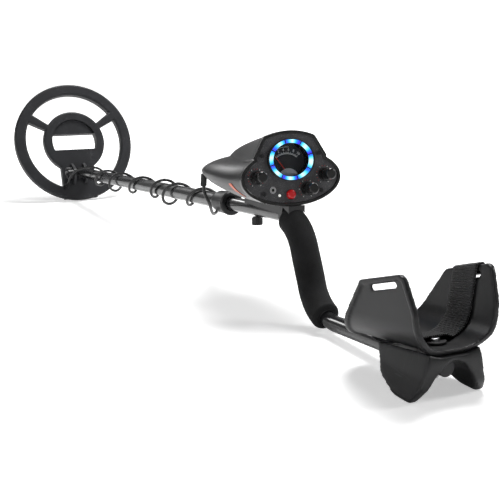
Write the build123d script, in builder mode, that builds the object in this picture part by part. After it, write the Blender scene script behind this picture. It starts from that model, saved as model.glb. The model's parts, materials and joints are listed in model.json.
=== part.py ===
"""Metal detector on an S-shaped shaft, standing on its coil and two rear feet.

Frame: +X to the user's right, +Y forward from the arm cuff to the coil, +Z up, millimetres.
The floor is z = 0 and the origin is under the middle of the detector's length.
"""
from build123d import *
from math import cos, degrees, pi, radians, sin, tan
import os

os.makedirs("parts", exist_ok=True)

# Driving dimensions
rod_slope = 3.72          # degrees, fall of the straight rod towards the coil
tube_d = 19.0             # S-shaped upper rod
tube_wall = 1.2
lower_d = 22.0            # lower rod, outside
front_end = 60.0          # how far behind y = 0 the upper rod ends, inside the lower one
bend_top = 376.0          # from y = 0 back along the rod to the corner above the grip
grip_length = 122.4       # between the S rod's two corners
grip_drop = 65.0          # degrees below level that the grip falls
tail_length = 238.0
bend_r = 58.0
foam_d = 34.6
pivot_y = 592.0           # coil pivot
coil_r = 127.0            # 10 inch search coil
coil_thick = 19.0
coil_lean = 70.46         # degrees from the floor
coil_rim = 3.0            # rounding of the coil's lower rim
pivot_down = 72.0         # pivot from the coil's centre, down along the disc
pivot_out = 22.0          # and out from the disc's middle plane
panel_tilt = 8.9          # degrees that the control panel leans back
panel_y = -355.0          # centre of the meter
panel_z = 191.0
body_depth = 178.0        # control housing, panel to nose
wall = 2.5                # housing shells
cuff_wall = 3.0
stand_wall = 6.5
cable_d = 4.5
collar_d = 34.0
knob_d = 16.5
knob_h = 18.0

# Clearances
slide_gap = 0.25          # radial, upper rod in lower rod
seat_gap = 0.1            # pieces that seat on each other
run_gap = 0.08            # radial, shafts that turn
loose_gap = 0.4           # cloth and cable beside hard pieces

# the coil touches the floor, and the rod passes through its pivot
contact_drop = ((coil_r - coil_rim) * sin(radians(coil_lean))
                + (coil_thick / 2 - coil_rim) * cos(radians(coil_lean)) + coil_rim)
pivot_z = contact_drop + pivot_out * cos(radians(coil_lean)) - pivot_down * sin(radians(coil_lean))
rod_height = pivot_z + pivot_y * tan(radians(rod_slope))   # the rod's axis above the floor at y = 0

tube_r = tube_d / 2
lower_r = lower_d / 2
bore_r = tube_r + slide_gap
cable_r = cable_d / 2


def write(piece, name):
    """Label a finished piece and save it as its own file."""
    piece.part.label = name
    export_step(piece.part, f"parts/{name}.step")


def facing(tilt, y, z, x=0):
    """A plane that faces the user: local x is right, y is up, z comes back, leaning by tilt."""
    return Plane(origin=(x, y, z), x_dir=(1, 0, 0), z_dir=(0, -cos(radians(tilt)), sin(radians(tilt))))


def on_rod(along, right=0, up=0):
    """A point on the straight rod's axis, or beside it, at a distance forward of y = 0."""
    s, c = sin(radians(rod_slope)), cos(radians(rod_slope))
    return Vector(right, along * c + up * s, rod_height - along * s + up * c)


def across(along):
    """The plane square to the straight rod, at a distance forward of y = 0, facing back."""
    centre = on_rod(along)
    return facing(rod_slope, centre.Y, centre.Z)


def ring(plane, outer, inner, low, high):
    """A plain ring on a plane, from one height above it to another."""
    with BuildPart() as piece:
        with BuildSketch(plane.offset(low)):
            Circle(outer)
            if inner:
                Circle(inner, mode=Mode.SUBTRACT)
        extrude(amount=high - low)
    return piece


# ---- S-shaped upper rod, grip and tail ----
back = Vector(0, -cos(radians(rod_slope)), sin(radians(rod_slope)))
fall = Vector(0, -cos(radians(grip_drop)), -sin(radians(grip_drop)))
rod_front = on_rod(-front_end)
grip_top = on_rod(-bend_top)
grip_foot = grip_top + fall * grip_length
tail_end = grip_foot + back * tail_length
bend_run = bend_r * tan(radians((grip_drop + rod_slope) / 2))


def on_tail(along, right=0, up=0):
    """A point beside the tail tube, measured back from the corner below the grip."""
    s, c = sin(radians(rod_slope)), cos(radians(rod_slope))
    return grip_foot + Vector(right, -along * c + up * s, along * s + up * c)


def tail_plane(along, up=0):
    """A plane square to the tail tube's top, facing up, local y forward."""
    return Plane(origin=on_tail(along, 0, up), x_dir=(1, 0, 0),
                 z_dir=(0, sin(radians(rod_slope)), cos(radians(rod_slope))))


bolt_back = 222.0         # cuff bolt, back along the tail
bolt_r = 2.5

with BuildPart() as s_rod:
    with BuildLine() as s_path:
        FilletPolyline(rod_front, grip_top, grip_foot, tail_end, radius=bend_r)
    with BuildSketch(Plane(origin=rod_front, x_dir=(1, 0, 0), z_dir=back)):
        Circle(tube_r)
        Circle(tube_r - tube_wall, mode=Mode.SUBTRACT)
    sweep(path=s_path.wires()[0])
    with BuildSketch(tail_plane(bolt_back, -20)):
        Circle(bolt_r + seat_gap)
    extrude(amount=40, mode=Mode.SUBTRACT)
    thumb_along = -264.5
    thumb_shank_r = 2.5
    thumb_axis = Plane(origin=on_rod(thumb_along), x_dir=(1, 0, 0), z_dir=on_rod(0, 0, 1) - on_rod(0))
    with BuildSketch(thumb_axis.offset(-20)):
        Circle(thumb_shank_r + seat_gap)
    extrude(amount=40, mode=Mode.SUBTRACT)
write(s_rod, "s_rod")

rod_path = s_path.wires()[0]
bend_arc = bend_r * radians(grip_drop + rod_slope)
foam_inset = 19.5         # how far inside the bends the foam starts and ends
foam_from = bend_top - front_end - bend_run + foam_inset
foam_to = bend_top - front_end - bend_run + bend_arc + (grip_length - 2 * bend_run) + bend_arc - foam_inset


def rod_cover(radius, hole=0.0, path=rod_path):
    """A tube that follows the S rod outside its wall."""
    with BuildPart() as cover:
        with BuildSketch(Plane(origin=path.position_at(0), z_dir=path.tangent_at(0))):
            Circle(radius)
            if hole:
                Circle(hole, mode=Mode.SUBTRACT)
        sweep(path=path)
    return cover.part


with BuildPart() as foam_grip:
    foam_path = rod_path.trim(foam_from / rod_path.length, foam_to / rod_path.length)
    add(rod_cover(foam_d / 2, tube_r + seat_gap, foam_path))
    foam_rims = foam_grip.edges().filter_by(GeomType.CIRCLE).filter_by(
        lambda e: abs(e.radius - foam_d / 2) < 0.01 and e.is_closed)
    fillet(foam_rims, 5)
write(foam_grip, "foam_grip")

cap_lip = 2.5
with BuildPart() as rod_end_cap:
    cap_plane = Plane(origin=tail_end, x_dir=(1, 0, 0), z_dir=back)
    with BuildSketch(cap_plane):
        Circle(tube_r)
    extrude(amount=cap_lip)
    fillet(rod_end_cap.faces().sort_by(Axis.Y)[0].edges(), 1)
    with BuildSketch(cap_plane):
        Circle(tube_r - tube_wall - seat_gap)
    extrude(amount=-8)
write(rod_end_cap, "rod_end_cap")

# ---- arm cuff ----
cuff_front = (-540.0, 31.4)   # y and underside height of the cuff's front section
cuff_rear = (-690.0, 48.8)
cuff_half_front = (46.0, 54.0)   # half widths at the floor and 70 mm above it
cuff_half_rear = (41.5, 49.0)
cuff_fillet = 35.0
rim_out = 2.5             # rim, thicker outwards
rim_band = 5.0


half_height = 70.0        # above the floor where the cuff's wider half width is measured
trough_high = 90.0


def trough(grow, floor_grow):
    """The cuff's full outer form, grown sideways and downwards, before its edges are cut."""
    with BuildPart() as form:
        for (y, floor), (low_half, high_half) in ((cuff_front, cuff_half_front),
                                                  (cuff_rear, cuff_half_rear)):
            slant = (high_half - low_half) / half_height
            with BuildSketch(Plane(origin=(0, y, 0), x_dir=(1, 0, 0), z_dir=(0, -1, 0))):
                with BuildLine():
                    low = (low_half + grow, floor - floor_grow)
                    high = (low_half + grow + slant * trough_high, floor + trough_high)
                    FilletPolyline((-high[0], high[1]), (-low[0], low[1]), low, high,
                                   radius=cuff_fillet + grow)
                    Line(high, (-high[0], high[1]))
                make_face()
        loft(ruled=True)
    return form.part


def cuff_side(grow=0.0):
    """The cuff seen from its side, as a slab across X: a leaning trapezoid with curved ends."""
    with BuildPart() as slab:
        with BuildSketch(Plane.YZ):
            with BuildLine():
                FilletPolyline((-545, 20), (-545, 31), (-596, 104), (-664, 124.5), (-679, 90),
                               (-682, 60), (-672, 40), (-672, 20), radius=[12, 9, 9, 30, 20, 9])
                Line((-672, 20), (-545, 20))
            make_face()
            if grow:
                offset(amount=grow)
        extrude(amount=80, both=True)
    return slab.part


def cuff_floor(y):
    """Underside height of the cuff at a station."""
    share = (y - cuff_front[0]) / (cuff_rear[0] - cuff_front[0])
    return cuff_front[1] + share * (cuff_rear[1] - cuff_front[1])


outer_trough = trough(0, 0)
inner_trough = trough(-cuff_wall, -cuff_wall)
side_slab = cuff_side()
slot_y, slot_z = -631.0, 105.0
slot_long, slot_high = 42.0, 5.6
slot_lean = 17.0

bolt_at = on_tail(bolt_back)
with BuildPart() as arm_cuff:
    add(outer_trough)
    add(inner_trough, mode=Mode.SUBTRACT)
    add(side_slab, mode=Mode.INTERSECT)
    add((trough(rim_out, rim_out) - inner_trough) & (side_slab - cuff_side(-rim_band)))
    with BuildSketch(Plane.YZ.offset(-80)):
        with Locations((slot_y, slot_z)):
            SlotOverall(slot_long, slot_high, rotation=-slot_lean)
    extrude(amount=160, mode=Mode.SUBTRACT)
    with BuildSketch(tail_plane(bolt_back)):
        Circle(bolt_r + seat_gap)
    extrude(amount=40, mode=Mode.SUBTRACT)
    with BuildSketch(Plane(origin=on_tail(80), x_dir=(1, 0, 0), z_dir=back)):
        Circle(tube_r + seat_gap)
    extrude(amount=180, mode=Mode.SUBTRACT)
write(arm_cuff, "arm_cuff")

# ---- stand under the cuff ----
foot_x = 39.7
foot_half = 5.0
with BuildPart() as stand:
    with BuildSketch(Plane.XZ.offset(570)):
        with BuildLine():
            FilletPolyline((-foot_x - foot_half, 0), (-36, 24), (-27, 60), (27, 60), (36, 24),
                           (foot_x + foot_half, 0), (foot_x - foot_half, 0), (21, 24), (10, 37),
                           (-10, 37), (-21, 24), (-foot_x + foot_half, 0), close=True,
                           radius=[3, 30, 1, 1, 30, 3, 3, 30, 9, 9, 30, 3])
        make_face()
    extrude(amount=115)
    with BuildSketch(Plane.YZ.offset(-60)):
        with BuildLine():
            FilletPolyline((-668, 0), (-646, 0), (-614, 13), (-598, 38), (-598, 60), (-676, 60),
                           (-680, 38), (-677, 14), close=True, radius=[7, 25, 22, 14, 3, 3, 20, 14])
        make_face()
    extrude(amount=120, mode=Mode.INTERSECT)
    add(trough(rim_out + seat_gap, rim_out + seat_gap), mode=Mode.SUBTRACT)
    with BuildSketch(Plane(origin=on_tail(80), x_dir=(1, 0, 0), z_dir=back)):
        Circle(tube_r + seat_gap)
    extrude(amount=180, mode=Mode.SUBTRACT)
    with BuildSketch(tail_plane(bolt_back)):
        Circle(bolt_r + seat_gap)
    extrude(amount=40, mode=Mode.SUBTRACT)
write(stand, "stand")

# the cuff bolt passes the cuff's floor, the stand and the tail tube
floor_top = cuff_floor(bolt_at.Y) + cuff_wall - bolt_at.Z + 1.4
washer_thick = 1.5
nut_thick = 4.0
washer_r = 11.0
cuff_washer = ring(tail_plane(bolt_back), washer_r, bolt_r + seat_gap, floor_top, floor_top + washer_thick)
write(cuff_washer, "cuff_washer")

with BuildPart() as cuff_bolt:
    head_low = floor_top + washer_thick
    with BuildSketch(tail_plane(bolt_back, head_low)):
        Circle(5)
    extrude(amount=3)
    fillet(cuff_bolt.faces().sort_by(Axis.Z)[-1].edges(), 1.2)
    with BuildSketch(tail_plane(bolt_back, head_low)):
        Circle(bolt_r)
    extrude(amount=-(head_low + tube_r + nut_thick + 1))
    with BuildSketch(tail_plane(bolt_back, head_low + 3)):
        Rectangle(5, 1)
        Rectangle(1, 5)
    extrude(amount=-1.2, mode=Mode.SUBTRACT)
write(cuff_bolt, "cuff_bolt")

with BuildPart() as cuff_nut:
    with BuildSketch(tail_plane(bolt_back, -tube_r)):
        RegularPolygon(4.6, 6)
        Circle(bolt_r + seat_gap, mode=Mode.SUBTRACT)
    extrude(amount=-nut_thick)
    with BuildSketch(Plane(origin=on_tail(bolt_back - 20), x_dir=(1, 0, 0), z_dir=back)):
        Circle(tube_r + seat_gap)
    extrude(amount=40, mode=Mode.SUBTRACT)
write(cuff_nut, "cuff_nut")

# ---- cuff strap: through the right wall's slot, over the rim and down inside ----
strap_wide = 36.0
strap_y = -629.0          # the strap lies a little forward of the middle of the slot
strap_thick = 1.8
near = loose_gap
far = loose_gap + strap_thick
with BuildPart() as strap_zone:
    with BuildSketch(Plane.XZ.offset(-strap_y - strap_wide / 2)):
        with Locations((53, 100)):
            Rectangle(150, 200)
    extrude(amount=strap_wide)
with BuildPart() as slot_core:
    with BuildSketch(Plane.YZ.offset(30)):
        with Locations((strap_y, slot_z - (strap_y - slot_y) * tan(radians(slot_lean)))):
            Rectangle(strap_wide, strap_thick, rotation=-slot_lean)
    extrude(amount=60)
slot_core_part = slot_core.part & (trough(rim_out + near + 0.5, 1) - trough(-cuff_wall - near - 0.5, 0))
wrap = (trough(rim_out + far, 3) & cuff_side(far)) - trough(-cuff_wall - far, -cuff_wall - far)
skin = (trough(rim_out + near, 3) & cuff_side(near)) - trough(-cuff_wall - near, -cuff_wall - near)
with BuildPart() as under_slot:
    with BuildSketch(Plane.YZ.offset(-40)):
        with BuildLine():
            drop = tan(radians(slot_lean)) * 60
            Polyline((slot_y - 60, 0), (slot_y + 60, 0), (slot_y + 60, slot_z - 1 - drop),
                     (slot_y - 60, slot_z - 1 + drop), close=True)
        make_face()
    extrude(amount=130)
outside_low = under_slot.part - trough(0, 0)
strap_body = ((wrap - skin) & strap_zone.part) - outside_low
with BuildPart() as strap:
    add(strap_body)
    add(slot_core_part)
    with BuildSketch(tail_plane(bolt_back)):
        Circle(washer_r + loose_gap)
    extrude(amount=45, mode=Mode.SUBTRACT)
write(strap, "strap")

# ---- lower rod, its tip and the twist lock ----
pivot_along = pivot_y / cos(radians(rod_slope))
pivot = on_rod(pivot_along)
tip_half = 8.5            # half the tongue's width
tip_round = 10.0
rod_to_pivot = 24.0
lower_front = pivot_along - rod_to_pivot
collar_front, collar_back = -145.0, -187.0
lower_back = collar_front - 20
bolt_pivot_r = 4.0
with BuildPart() as lower_rod:
    with BuildSketch(across(lower_front)):
        Circle(lower_r)
        Circle(bore_r, mode=Mode.SUBTRACT)
    extrude(amount=lower_front - lower_back)
write(lower_rod, "lower_rod")

tip_plug = 40.0
rod_line = Plane(origin=pivot, x_dir=-back, z_dir=(1, 0, 0))
with BuildPart() as rod_tip:
    with BuildSketch(across(lower_front)):
        Circle(bore_r - seat_gap)
    extrude(amount=tip_plug)
    with BuildSketch(across(lower_front)):
        Circle(lower_r)
    extrude(amount=-6)
    with BuildSketch(rod_line.offset(-tip_half)):
        Circle(tip_round)
        with Locations((-rod_to_pivot / 2, 0)):
            Rectangle(rod_to_pivot, 2 * tip_round)
    extrude(amount=2 * tip_half)
    with BuildSketch(rod_line.offset(-30)):
        Circle(bolt_pivot_r + run_gap)
    extrude(amount=60, mode=Mode.SUBTRACT)
write(rod_tip, "rod_tip")

collet_r = 13.2
with BuildPart() as lock_collar:
    with BuildSketch(Plane(origin=on_rod(0), x_dir=-back, z_dir=(1, 0, 0))):
        with BuildLine():
            FilletPolyline((collar_front, lower_r + run_gap), (collar_front, 14.0), (collar_front - 7, 15.5),
                           (collar_front - 31, collar_d / 2 - 1.0), (collar_back + 2, collar_d / 2),
                           (collar_back, 15.5), (collar_back, tube_r + 0.8), (collar_back + 4, tube_r + 0.8),
                           (collar_back + 4, collet_r + run_gap), (lower_back - 0.5, collet_r + run_gap),
                           (lower_back - 0.5, lower_r + run_gap), close=True, radius=0.4)
        make_face()
    revolve(axis=Axis(on_rod(0), -back))
    with BuildSketch(across(collar_back + 8)):
        with PolarLocations(collar_d / 2 + 0.5, 16):
            Circle(1.7)
    extrude(amount=-26, mode=Mode.SUBTRACT)
write(lock_collar, "lock_collar")

with BuildPart() as collet:
    with BuildSketch(across(lower_back - 1.0)):
        Circle(collet_r)
        Circle(tube_r + seat_gap, mode=Mode.SUBTRACT)
        with PolarLocations(11, 3):
            Rectangle(8, 1.2, mode=Mode.SUBTRACT)
    extrude(amount=abs(collar_back - lower_back) - 6)
    with BuildSketch(across(lower_back - 1.0)):
        Circle(collet_r)
        Circle(tube_r + seat_gap, mode=Mode.SUBTRACT)
    extrude(amount=4)
write(collet, "collet")

# ---- search coil ----
lean = radians(coil_lean)
up_disc = Vector(0, cos(lean), sin(lean))
out_disc = Vector(0, -sin(lean), cos(lean))
coil_centre = pivot + up_disc * pivot_down - out_disc * pivot_out
disc = Plane(origin=coil_centre, x_dir=(1, 0, 0), z_dir=out_disc)
disc_side = Plane(origin=coil_centre, x_dir=up_disc, z_dir=(1, 0, 0))
ring_w = 23.0
hub_r = 66.0
hub_w = 17.5
window_top, window_low = 17.0, -18.0
spoke_rise = 31.0         # degrees above level
spoke_outer, spoke_inner = 20.0, 13.0
plate_half = 36.0
half_thick = coil_thick / 2
shell_split = -3.0        # the two coil shells meet here, measured from the middle plane
winding_gap = 0.3
tx_r, rx_r = 115.5, 57.0  # mean radii of the two windings
winding_w, winding_t = 8.0, 6.0


def coil_outline(grow=0.0):
    """The coil housing seen square on: outer ring, hub, two spokes and the mounting plate."""
    with BuildSketch(disc) as face:
        Circle(coil_r + grow)
        Circle(coil_r - ring_w, mode=Mode.SUBTRACT)
        Circle(hub_r)
        for side in (0, 180):
            angle = spoke_rise if side == 0 else 180 - spoke_rise
            run = Vector(cos(radians(angle)), sin(radians(angle)))
            aside = Vector(-run.Y, run.X)
            root, end = run * (hub_r - 4), run * (coil_r - ring_w + 4)
            root_half, end_half = aside * spoke_inner / 2, aside * spoke_outer / 2
            with BuildLine():
                Polyline(root + root_half, end + end_half, end - end_half, root - root_half, close=True)
            make_face()
        with Locations((0, -(hub_r + coil_r - ring_w) / 2)):
            Rectangle(2 * plate_half, coil_r - ring_w - hub_r + 40)
        corners = face.vertices().filter_by(
            lambda v: hub_r - 1 < (v.center() - coil_centre).length < coil_r - ring_w + 1)
        fillet(corners, 5)
    return face.sketch


with BuildSketch(disc) as window_face:
    Circle(hub_r - hub_w)
    with Locations((0, (window_top + window_low) / 2)):
        Rectangle(2 * hub_r, window_top - window_low, mode=Mode.INTERSECT)
with BuildSketch(disc) as recess_face:
    Circle(hub_r - hub_w)
    with Locations((0, window_top + hub_r / 2)):
        Rectangle(2 * hub_r, hub_r, mode=Mode.INTERSECT)

ear_gap = 20.0            # between the two ears
ear_thick = 5.5
ear_r = 10.5
with BuildPart() as coil_top_shell:
    add(extrude(coil_outline(), amount=half_thick))
    add(extrude(coil_outline(), amount=shell_split))
    top_rims = coil_top_shell.faces().filter_by(disc).sort_by(Axis(coil_centre, out_disc))[-1].edges()
    fillet(top_rims, 4)
    add(extrude(window_face.sketch, amount=20, both=True), mode=Mode.SUBTRACT)
    recess_low = recess_face.sketch.moved(Location(out_disc * (half_thick - 4)))
    add(extrude(recess_low, amount=10), mode=Mode.SUBTRACT)
    for mean in (tx_r, rx_r):
        with BuildSketch(disc.offset(shell_split)):
            Circle(mean + winding_w / 2 + winding_gap)
            Circle(mean - winding_w / 2 - winding_gap, mode=Mode.SUBTRACT)
        extrude(amount=winding_t + winding_gap, mode=Mode.SUBTRACT)
    for side in (-1, 1):
        inner_face = side * ear_gap / 2
        with BuildSketch(disc_side.offset(inner_face)) as ear_face:
            with BuildLine() as ear_lines:
                CenterArc((-pivot_down, pivot_out), ear_r, 0, 360)
                Line((-pivot_down - 24, half_thick - 1), (-pivot_down + 24, half_thick - 1))
            make_hull()
        extrude(amount=side * ear_thick)
    with BuildSketch(disc_side.offset(-30)):
        with Locations((-pivot_down, pivot_out)):
            Circle(bolt_pivot_r + seat_gap)
    extrude(amount=60, mode=Mode.SUBTRACT)
write(coil_top_shell, "coil_top_shell")

with BuildPart() as coil_bottom_shell:
    add(extrude(coil_outline().moved(Location(out_disc * shell_split)), amount=-(half_thick + shell_split)))
    low_rims = coil_bottom_shell.faces().filter_by(disc).sort_by(Axis(coil_centre, out_disc))[0].edges()
    fillet(low_rims, coil_rim)
    add(extrude(window_face.sketch, amount=20, both=True), mode=Mode.SUBTRACT)
write(coil_bottom_shell, "coil_bottom_shell")

for name, mean in (("transmit_winding", tx_r), ("receive_winding", rx_r)):
    half = winding_w / 2
    write(ring(disc, mean + half, mean - half, shell_split + seat_gap, shell_split + winding_t), name)

# pivot bolt through ears, washers and tongue, with a wing nut on the left
ear_out = ear_gap / 2 + ear_thick
pivot_plane = Plane(origin=pivot, x_dir=up_disc, z_dir=(-1, 0, 0))
wing_low = ear_out + 0.3
with BuildPart() as pivot_bolt:
    with BuildSketch(pivot_plane.offset(-ear_out - 5)):
        Circle(8.5)
    extrude(amount=5)
    fillet(pivot_bolt.faces().sort_by(Axis.X)[-1].edges(), 1.5)
    with BuildSketch(pivot_plane.offset(-ear_out)):
        Circle(bolt_pivot_r)
    extrude(amount=2 * ear_out + 17)
write(pivot_bolt, "pivot_bolt")

washer = ear_gap / 2 - tip_half - 2 * seat_gap
with BuildPart() as pivot_washers:
    for low in (-tip_half - seat_gap - washer, tip_half + seat_gap):
        with BuildSketch(pivot_plane.offset(low)):
            Circle(tip_round - 0.5)
            Circle(bolt_pivot_r + seat_gap, mode=Mode.SUBTRACT)
        extrude(amount=washer)
write(pivot_washers, "pivot_washers")

with BuildPart() as wing_nut:
    with BuildSketch(pivot_plane.offset(wing_low)):
        Circle(7.5)
    extrude(amount=12)
    with BuildSketch(pivot_plane.offset(wing_low + 3)):
        SlotOverall(24, 5)
    extrude(amount=12)
    fillet(wing_nut.faces().sort_by(Axis.X)[0].edges(), 1)
    with BuildSketch(pivot_plane.offset(wing_low)):
        Circle(bolt_pivot_r + run_gap)
    extrude(amount=20, mode=Mode.SUBTRACT)
write(wing_nut, "wing_nut")

# strain relief where the cable leaves the coil
gland_x, gland_down = -31.0, -97.0
gland_plane = Plane(origin=disc.from_local_coords(Vector(gland_x, gland_down, half_thick)), x_dir=(1, 0, 0),
                    z_dir=out_disc)
with BuildPart() as coil_gland:
    with BuildSketch(gland_plane):
        RegularPolygon(7, 6)
    extrude(amount=5)
    with BuildSketch(gland_plane):
        Circle(4.6)
    extrude(amount=12)
    fillet(coil_gland.faces().sort_by(Axis(gland_plane.origin, out_disc))[-1].edges(), 1)
    with BuildSketch(gland_plane):
        Circle(cable_r + seat_gap)
    extrude(amount=12, mode=Mode.SUBTRACT)
write(coil_gland, "coil_gland")

# ---- control housing ----
panel = facing(panel_tilt, panel_y, panel_z)   # local x right, y up the panel, z towards the user
# depth behind the panel, half width, half height and centre height of the housing's oval sections
lobe = ((0, 67, 33, -22), (70, 64, 29, -17), (145, 54, 20, -7), (body_depth, 42, 12, -4))
hood = ((0, 49, 34.5, 0), (80, 41, 29, -2), (130, 29, 21, -4), (160, 16, 11, -4))


def hood_outline(half_w, half_h, inset):
    """The hood's section: flat sides that lean in to rounded corners, and a shallow arch between them."""
    corner_x, corner_y = 0.7 * half_w, 0.81 * half_h
    foot = (half_w, 0.1 * half_h)
    low = (0.9 * half_w, -0.5 * half_h)
    with BuildSketch() as outline:
        with BuildLine():
            Polyline((-corner_x, corner_y), (-foot[0], foot[1]), (-low[0], low[1]), low, foot,
                     (corner_x, corner_y))
            ThreePointArc((corner_x, corner_y), (0, half_h), (-corner_x, corner_y))
        make_face()
        fillet(outline.vertices().filter_by(lambda v: v.Y > 0.5 * half_h), 0.16 * half_w)
        if inset:
            offset(amount=-inset, mode=Mode.REPLACE)
    return outline.sketch


def section(sections, half_w, half_h, inset):
    """Draws one section of the lobe or of the hood in the open sketch."""
    if sections is hood:
        add(hood_outline(half_w, half_h, inset))
    else:
        Ellipse(half_w - inset, half_h - inset)


def ovals(sections, inset=0.0, first=0.0, last=0.0):
    """A smooth form through the lobe's or the hood's sections behind the panel."""
    with BuildPart() as form:
        for number, (depth, half_w, half_h, mid) in enumerate(sections):
            if number == 0:
                depth = first
            if number == len(sections) - 1:
                depth = depth - last
            with BuildSketch(panel.offset(-depth)):
                with Locations((0, mid)):
                    section(sections, half_w, half_h, inset)
        loft()
    return form.part


def panel_face(inset):
    """The panel's outline: the lobe and the hood with a soft waist between them."""
    with BuildSketch(panel) as face:
        for sections in (lobe, hood):
            _, half_w, half_h, mid = sections[0]
            with Locations((0, mid)):
                section(sections, half_w, half_h, inset)
        sides = face.vertices().filter_by(lambda v: abs(v.X) > 25 and abs(v.Z - panel_z) < 14)
        fillet(sides.sort_by(Axis.Z)[-2:], 3)
    return face.sketch


def plate(inset, low, high, hole=None):
    """A plate with the panel's outline, or a frame when a second inset is given."""
    with BuildPart() as piece:
        add(extrude(panel_face(inset).moved(Location(panel.z_dir * low)), amount=high - low))
        if hole is not None:
            add(extrude(panel_face(hole).moved(Location(panel.z_dir * (low - 1))), amount=high - low + 2),
                mode=Mode.SUBTRACT)
    return piece.part


def box(x, y, z):
    """A box between two values of each coordinate."""
    with BuildPart() as piece:
        with BuildSketch(Plane.XY.offset(z[0])):
            with Locations(((x[0] + x[1]) / 2, (y[0] + y[1]) / 2)):
                Rectangle(x[1] - x[0], y[1] - y[0])
        extrude(amount=z[1] - z[0])
    return piece.part


def posts(radius, places, low, high, bore=0.0):
    """Round posts or holes square to the panel."""
    with BuildPart() as group:
        with BuildSketch(panel.offset(low)):
            with Locations(*places):
                Circle(radius)
                if bore:
                    Circle(bore, mode=Mode.SUBTRACT)
        extrude(amount=high - low)
    return group.part


seam_a = panel.from_local_coords(Vector(0, -19, 0))
seam_b = panel.from_local_coords(Vector(0, -5, -body_depth))
seam = Plane(origin=seam_a, x_dir=(1, 0, 0), z_dir=Vector(1, 0, 0).cross(seam_b - seam_a))
with BuildPart() as above_seam:
    with BuildSketch(seam):
        Rectangle(400, 600)
    extrude(amount=200)

rim_back = 4.0            # the housing starts this far behind the panel's face, at the rim's back
screw_places = ((-38.6, 6.3), (38.6, 6.3), (-39, -39), (39, -39))
screw_r = 1.4
boss_r = 6.2
boss_back = 20.0
body_outer = ovals(lobe, 0, rim_back) + ovals(hood, 0, rim_back)
body_inner = ovals(lobe, wall, -2, wall) + ovals(hood, wall, -2, wall)
body_shell = body_outer - body_inner
bosses = posts(boss_r, screw_places, -boss_back, -rim_back) & body_outer
boss_holes = posts(screw_r + seat_gap, screw_places, -boss_back + 1, 0)

# battery bay under the right side, closed by a sliding door
bay_x, bay_y = (16.0, 46.5), (-318.0, -216.0)
pod_low = 134.6
bay_wall = 2.0
door_thick = 2.0
rail_drop = 3.4
pod_x = (bay_x[0] - bay_wall, bay_x[1] + bay_wall)
pod_y = (bay_y[0] - bay_wall, bay_y[1] + bay_wall)
speaker_at = (-30.0, -262.0)
speaker_r = 14.0

# the cable's own gland sits low on the nose, left of the middle
nose_gland_at = Vector(-41.5, -186, 155)
nose_gland_dir = Vector(0, 0.15, -1).normalized()
nose_gland_plane = Plane(origin=nose_gland_at, z_dir=nose_gland_dir)
gland_long = 16.0
with BuildPart() as nose_gland_hole:
    with BuildSketch(nose_gland_plane.offset(-4)):
        Circle(4.2 + seat_gap)
    extrude(amount=gland_long + 8)

upper_body = (body_shell + bosses - boss_holes) & above_seam.part
with BuildPart() as housing_upper:
    add(upper_body)
write(housing_upper, "housing_upper")

with BuildPart() as housing_lower:
    add(body_shell + bosses - boss_holes - above_seam.part)
    add(box(pod_x, pod_y, (pod_low, 160)) - body_inner)
    for side, edge in ((1, pod_x[0]), (-1, pod_x[1])):
        outside = edge - side * 1.8
        inside = edge + side * 2.5
        add(box(sorted((outside, edge)), pod_y, (pod_low - rail_drop, pod_low + 3)))
        add(box(sorted((outside, inside)), pod_y, (pod_low - rail_drop, pod_low - rail_drop + 1)))
    add(box(bay_x, bay_y, (pod_low - 0.5, 160)), mode=Mode.SUBTRACT)
    with BuildSketch(Plane.XY.offset(130)):
        for slot in range(6):
            with Locations((speaker_at[0] - 8, speaker_at[1] - 15 + slot * 6)):
                SlotOverall(26, 2.4, rotation=20)
    extrude(amount=26, mode=Mode.SUBTRACT)
    add(nose_gland_hole.part, mode=Mode.SUBTRACT)
write(housing_lower, "housing_lower")

with BuildPart() as battery_door:
    add(box((pod_x[0] + 0.3, pod_x[1] - 0.3), pod_y, (pod_low - 0.2 - door_thick, pod_low - 0.2)))
    with BuildSketch(Plane.XY.offset(pod_low - 0.2 - door_thick)):
        for row in range(5):
            with Locations(((pod_x[0] + pod_x[1]) / 2, pod_y[0] + 8 + 3 * row)):
                Rectangle(14, 1.2)
    extrude(amount=0.6, mode=Mode.SUBTRACT)
write(battery_door, "battery_door")

battery = (26.5, 48.5, 17.5)
with BuildPart() as batteries:
    for number in range(2):
        mid_x = sum(bay_x) / 2
        y = bay_y[0] + 1.5 + number * (battery[1] + 2)
        z = pod_low + 1
        add(box((mid_x - battery[0] / 2, mid_x + battery[0] / 2), (y, y + battery[1]), (z, z + battery[2])))
write(batteries, "batteries")

with BuildPart() as speaker:
    speaker_plane = Plane.XY.offset(153)
    with BuildSketch(speaker_plane):
        with Locations(speaker_at):
            Circle(speaker_r)
    extrude(amount=3)
    with BuildSketch(speaker_plane.offset(3)):
        with Locations(speaker_at):
            Circle(8)
    extrude(amount=5)
write(speaker, "speaker")

# front panel with its rim
rim_in = 3.4
rim_out_panel = 0.8       # the rim stands this far outside the housing
plate_thick = 2.5
opening = (29.0, 22.6)
knob_places = {"left": (-47.5, -19.0), "right": (45.0, -20.0), "lower": (20.0, -36.0)}
jack_at = (-27.0, -35.0)
led_at = (-18.0, -42.0)
button_at = (-2.5, -41.5)
button_r = 5.9
bushing_r = 3.5
jack_r = 3.0
led_r = 1.5
with BuildPart() as front_panel:
    add(plate(rim_in + seat_gap, -plate_thick, 0))
    with BuildSketch(panel):
        Ellipse(*opening)
        with Locations(*knob_places.values()):
            Circle(bushing_r + seat_gap)
        with Locations(jack_at):
            Circle(jack_r + seat_gap)
        with Locations(led_at):
            Circle(led_r + seat_gap)
        with Locations(button_at):
            Circle(button_r + 0.2)
        with Locations(*screw_places):
            Circle(screw_r + seat_gap)
    extrude(amount=-5, mode=Mode.SUBTRACT)
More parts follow.
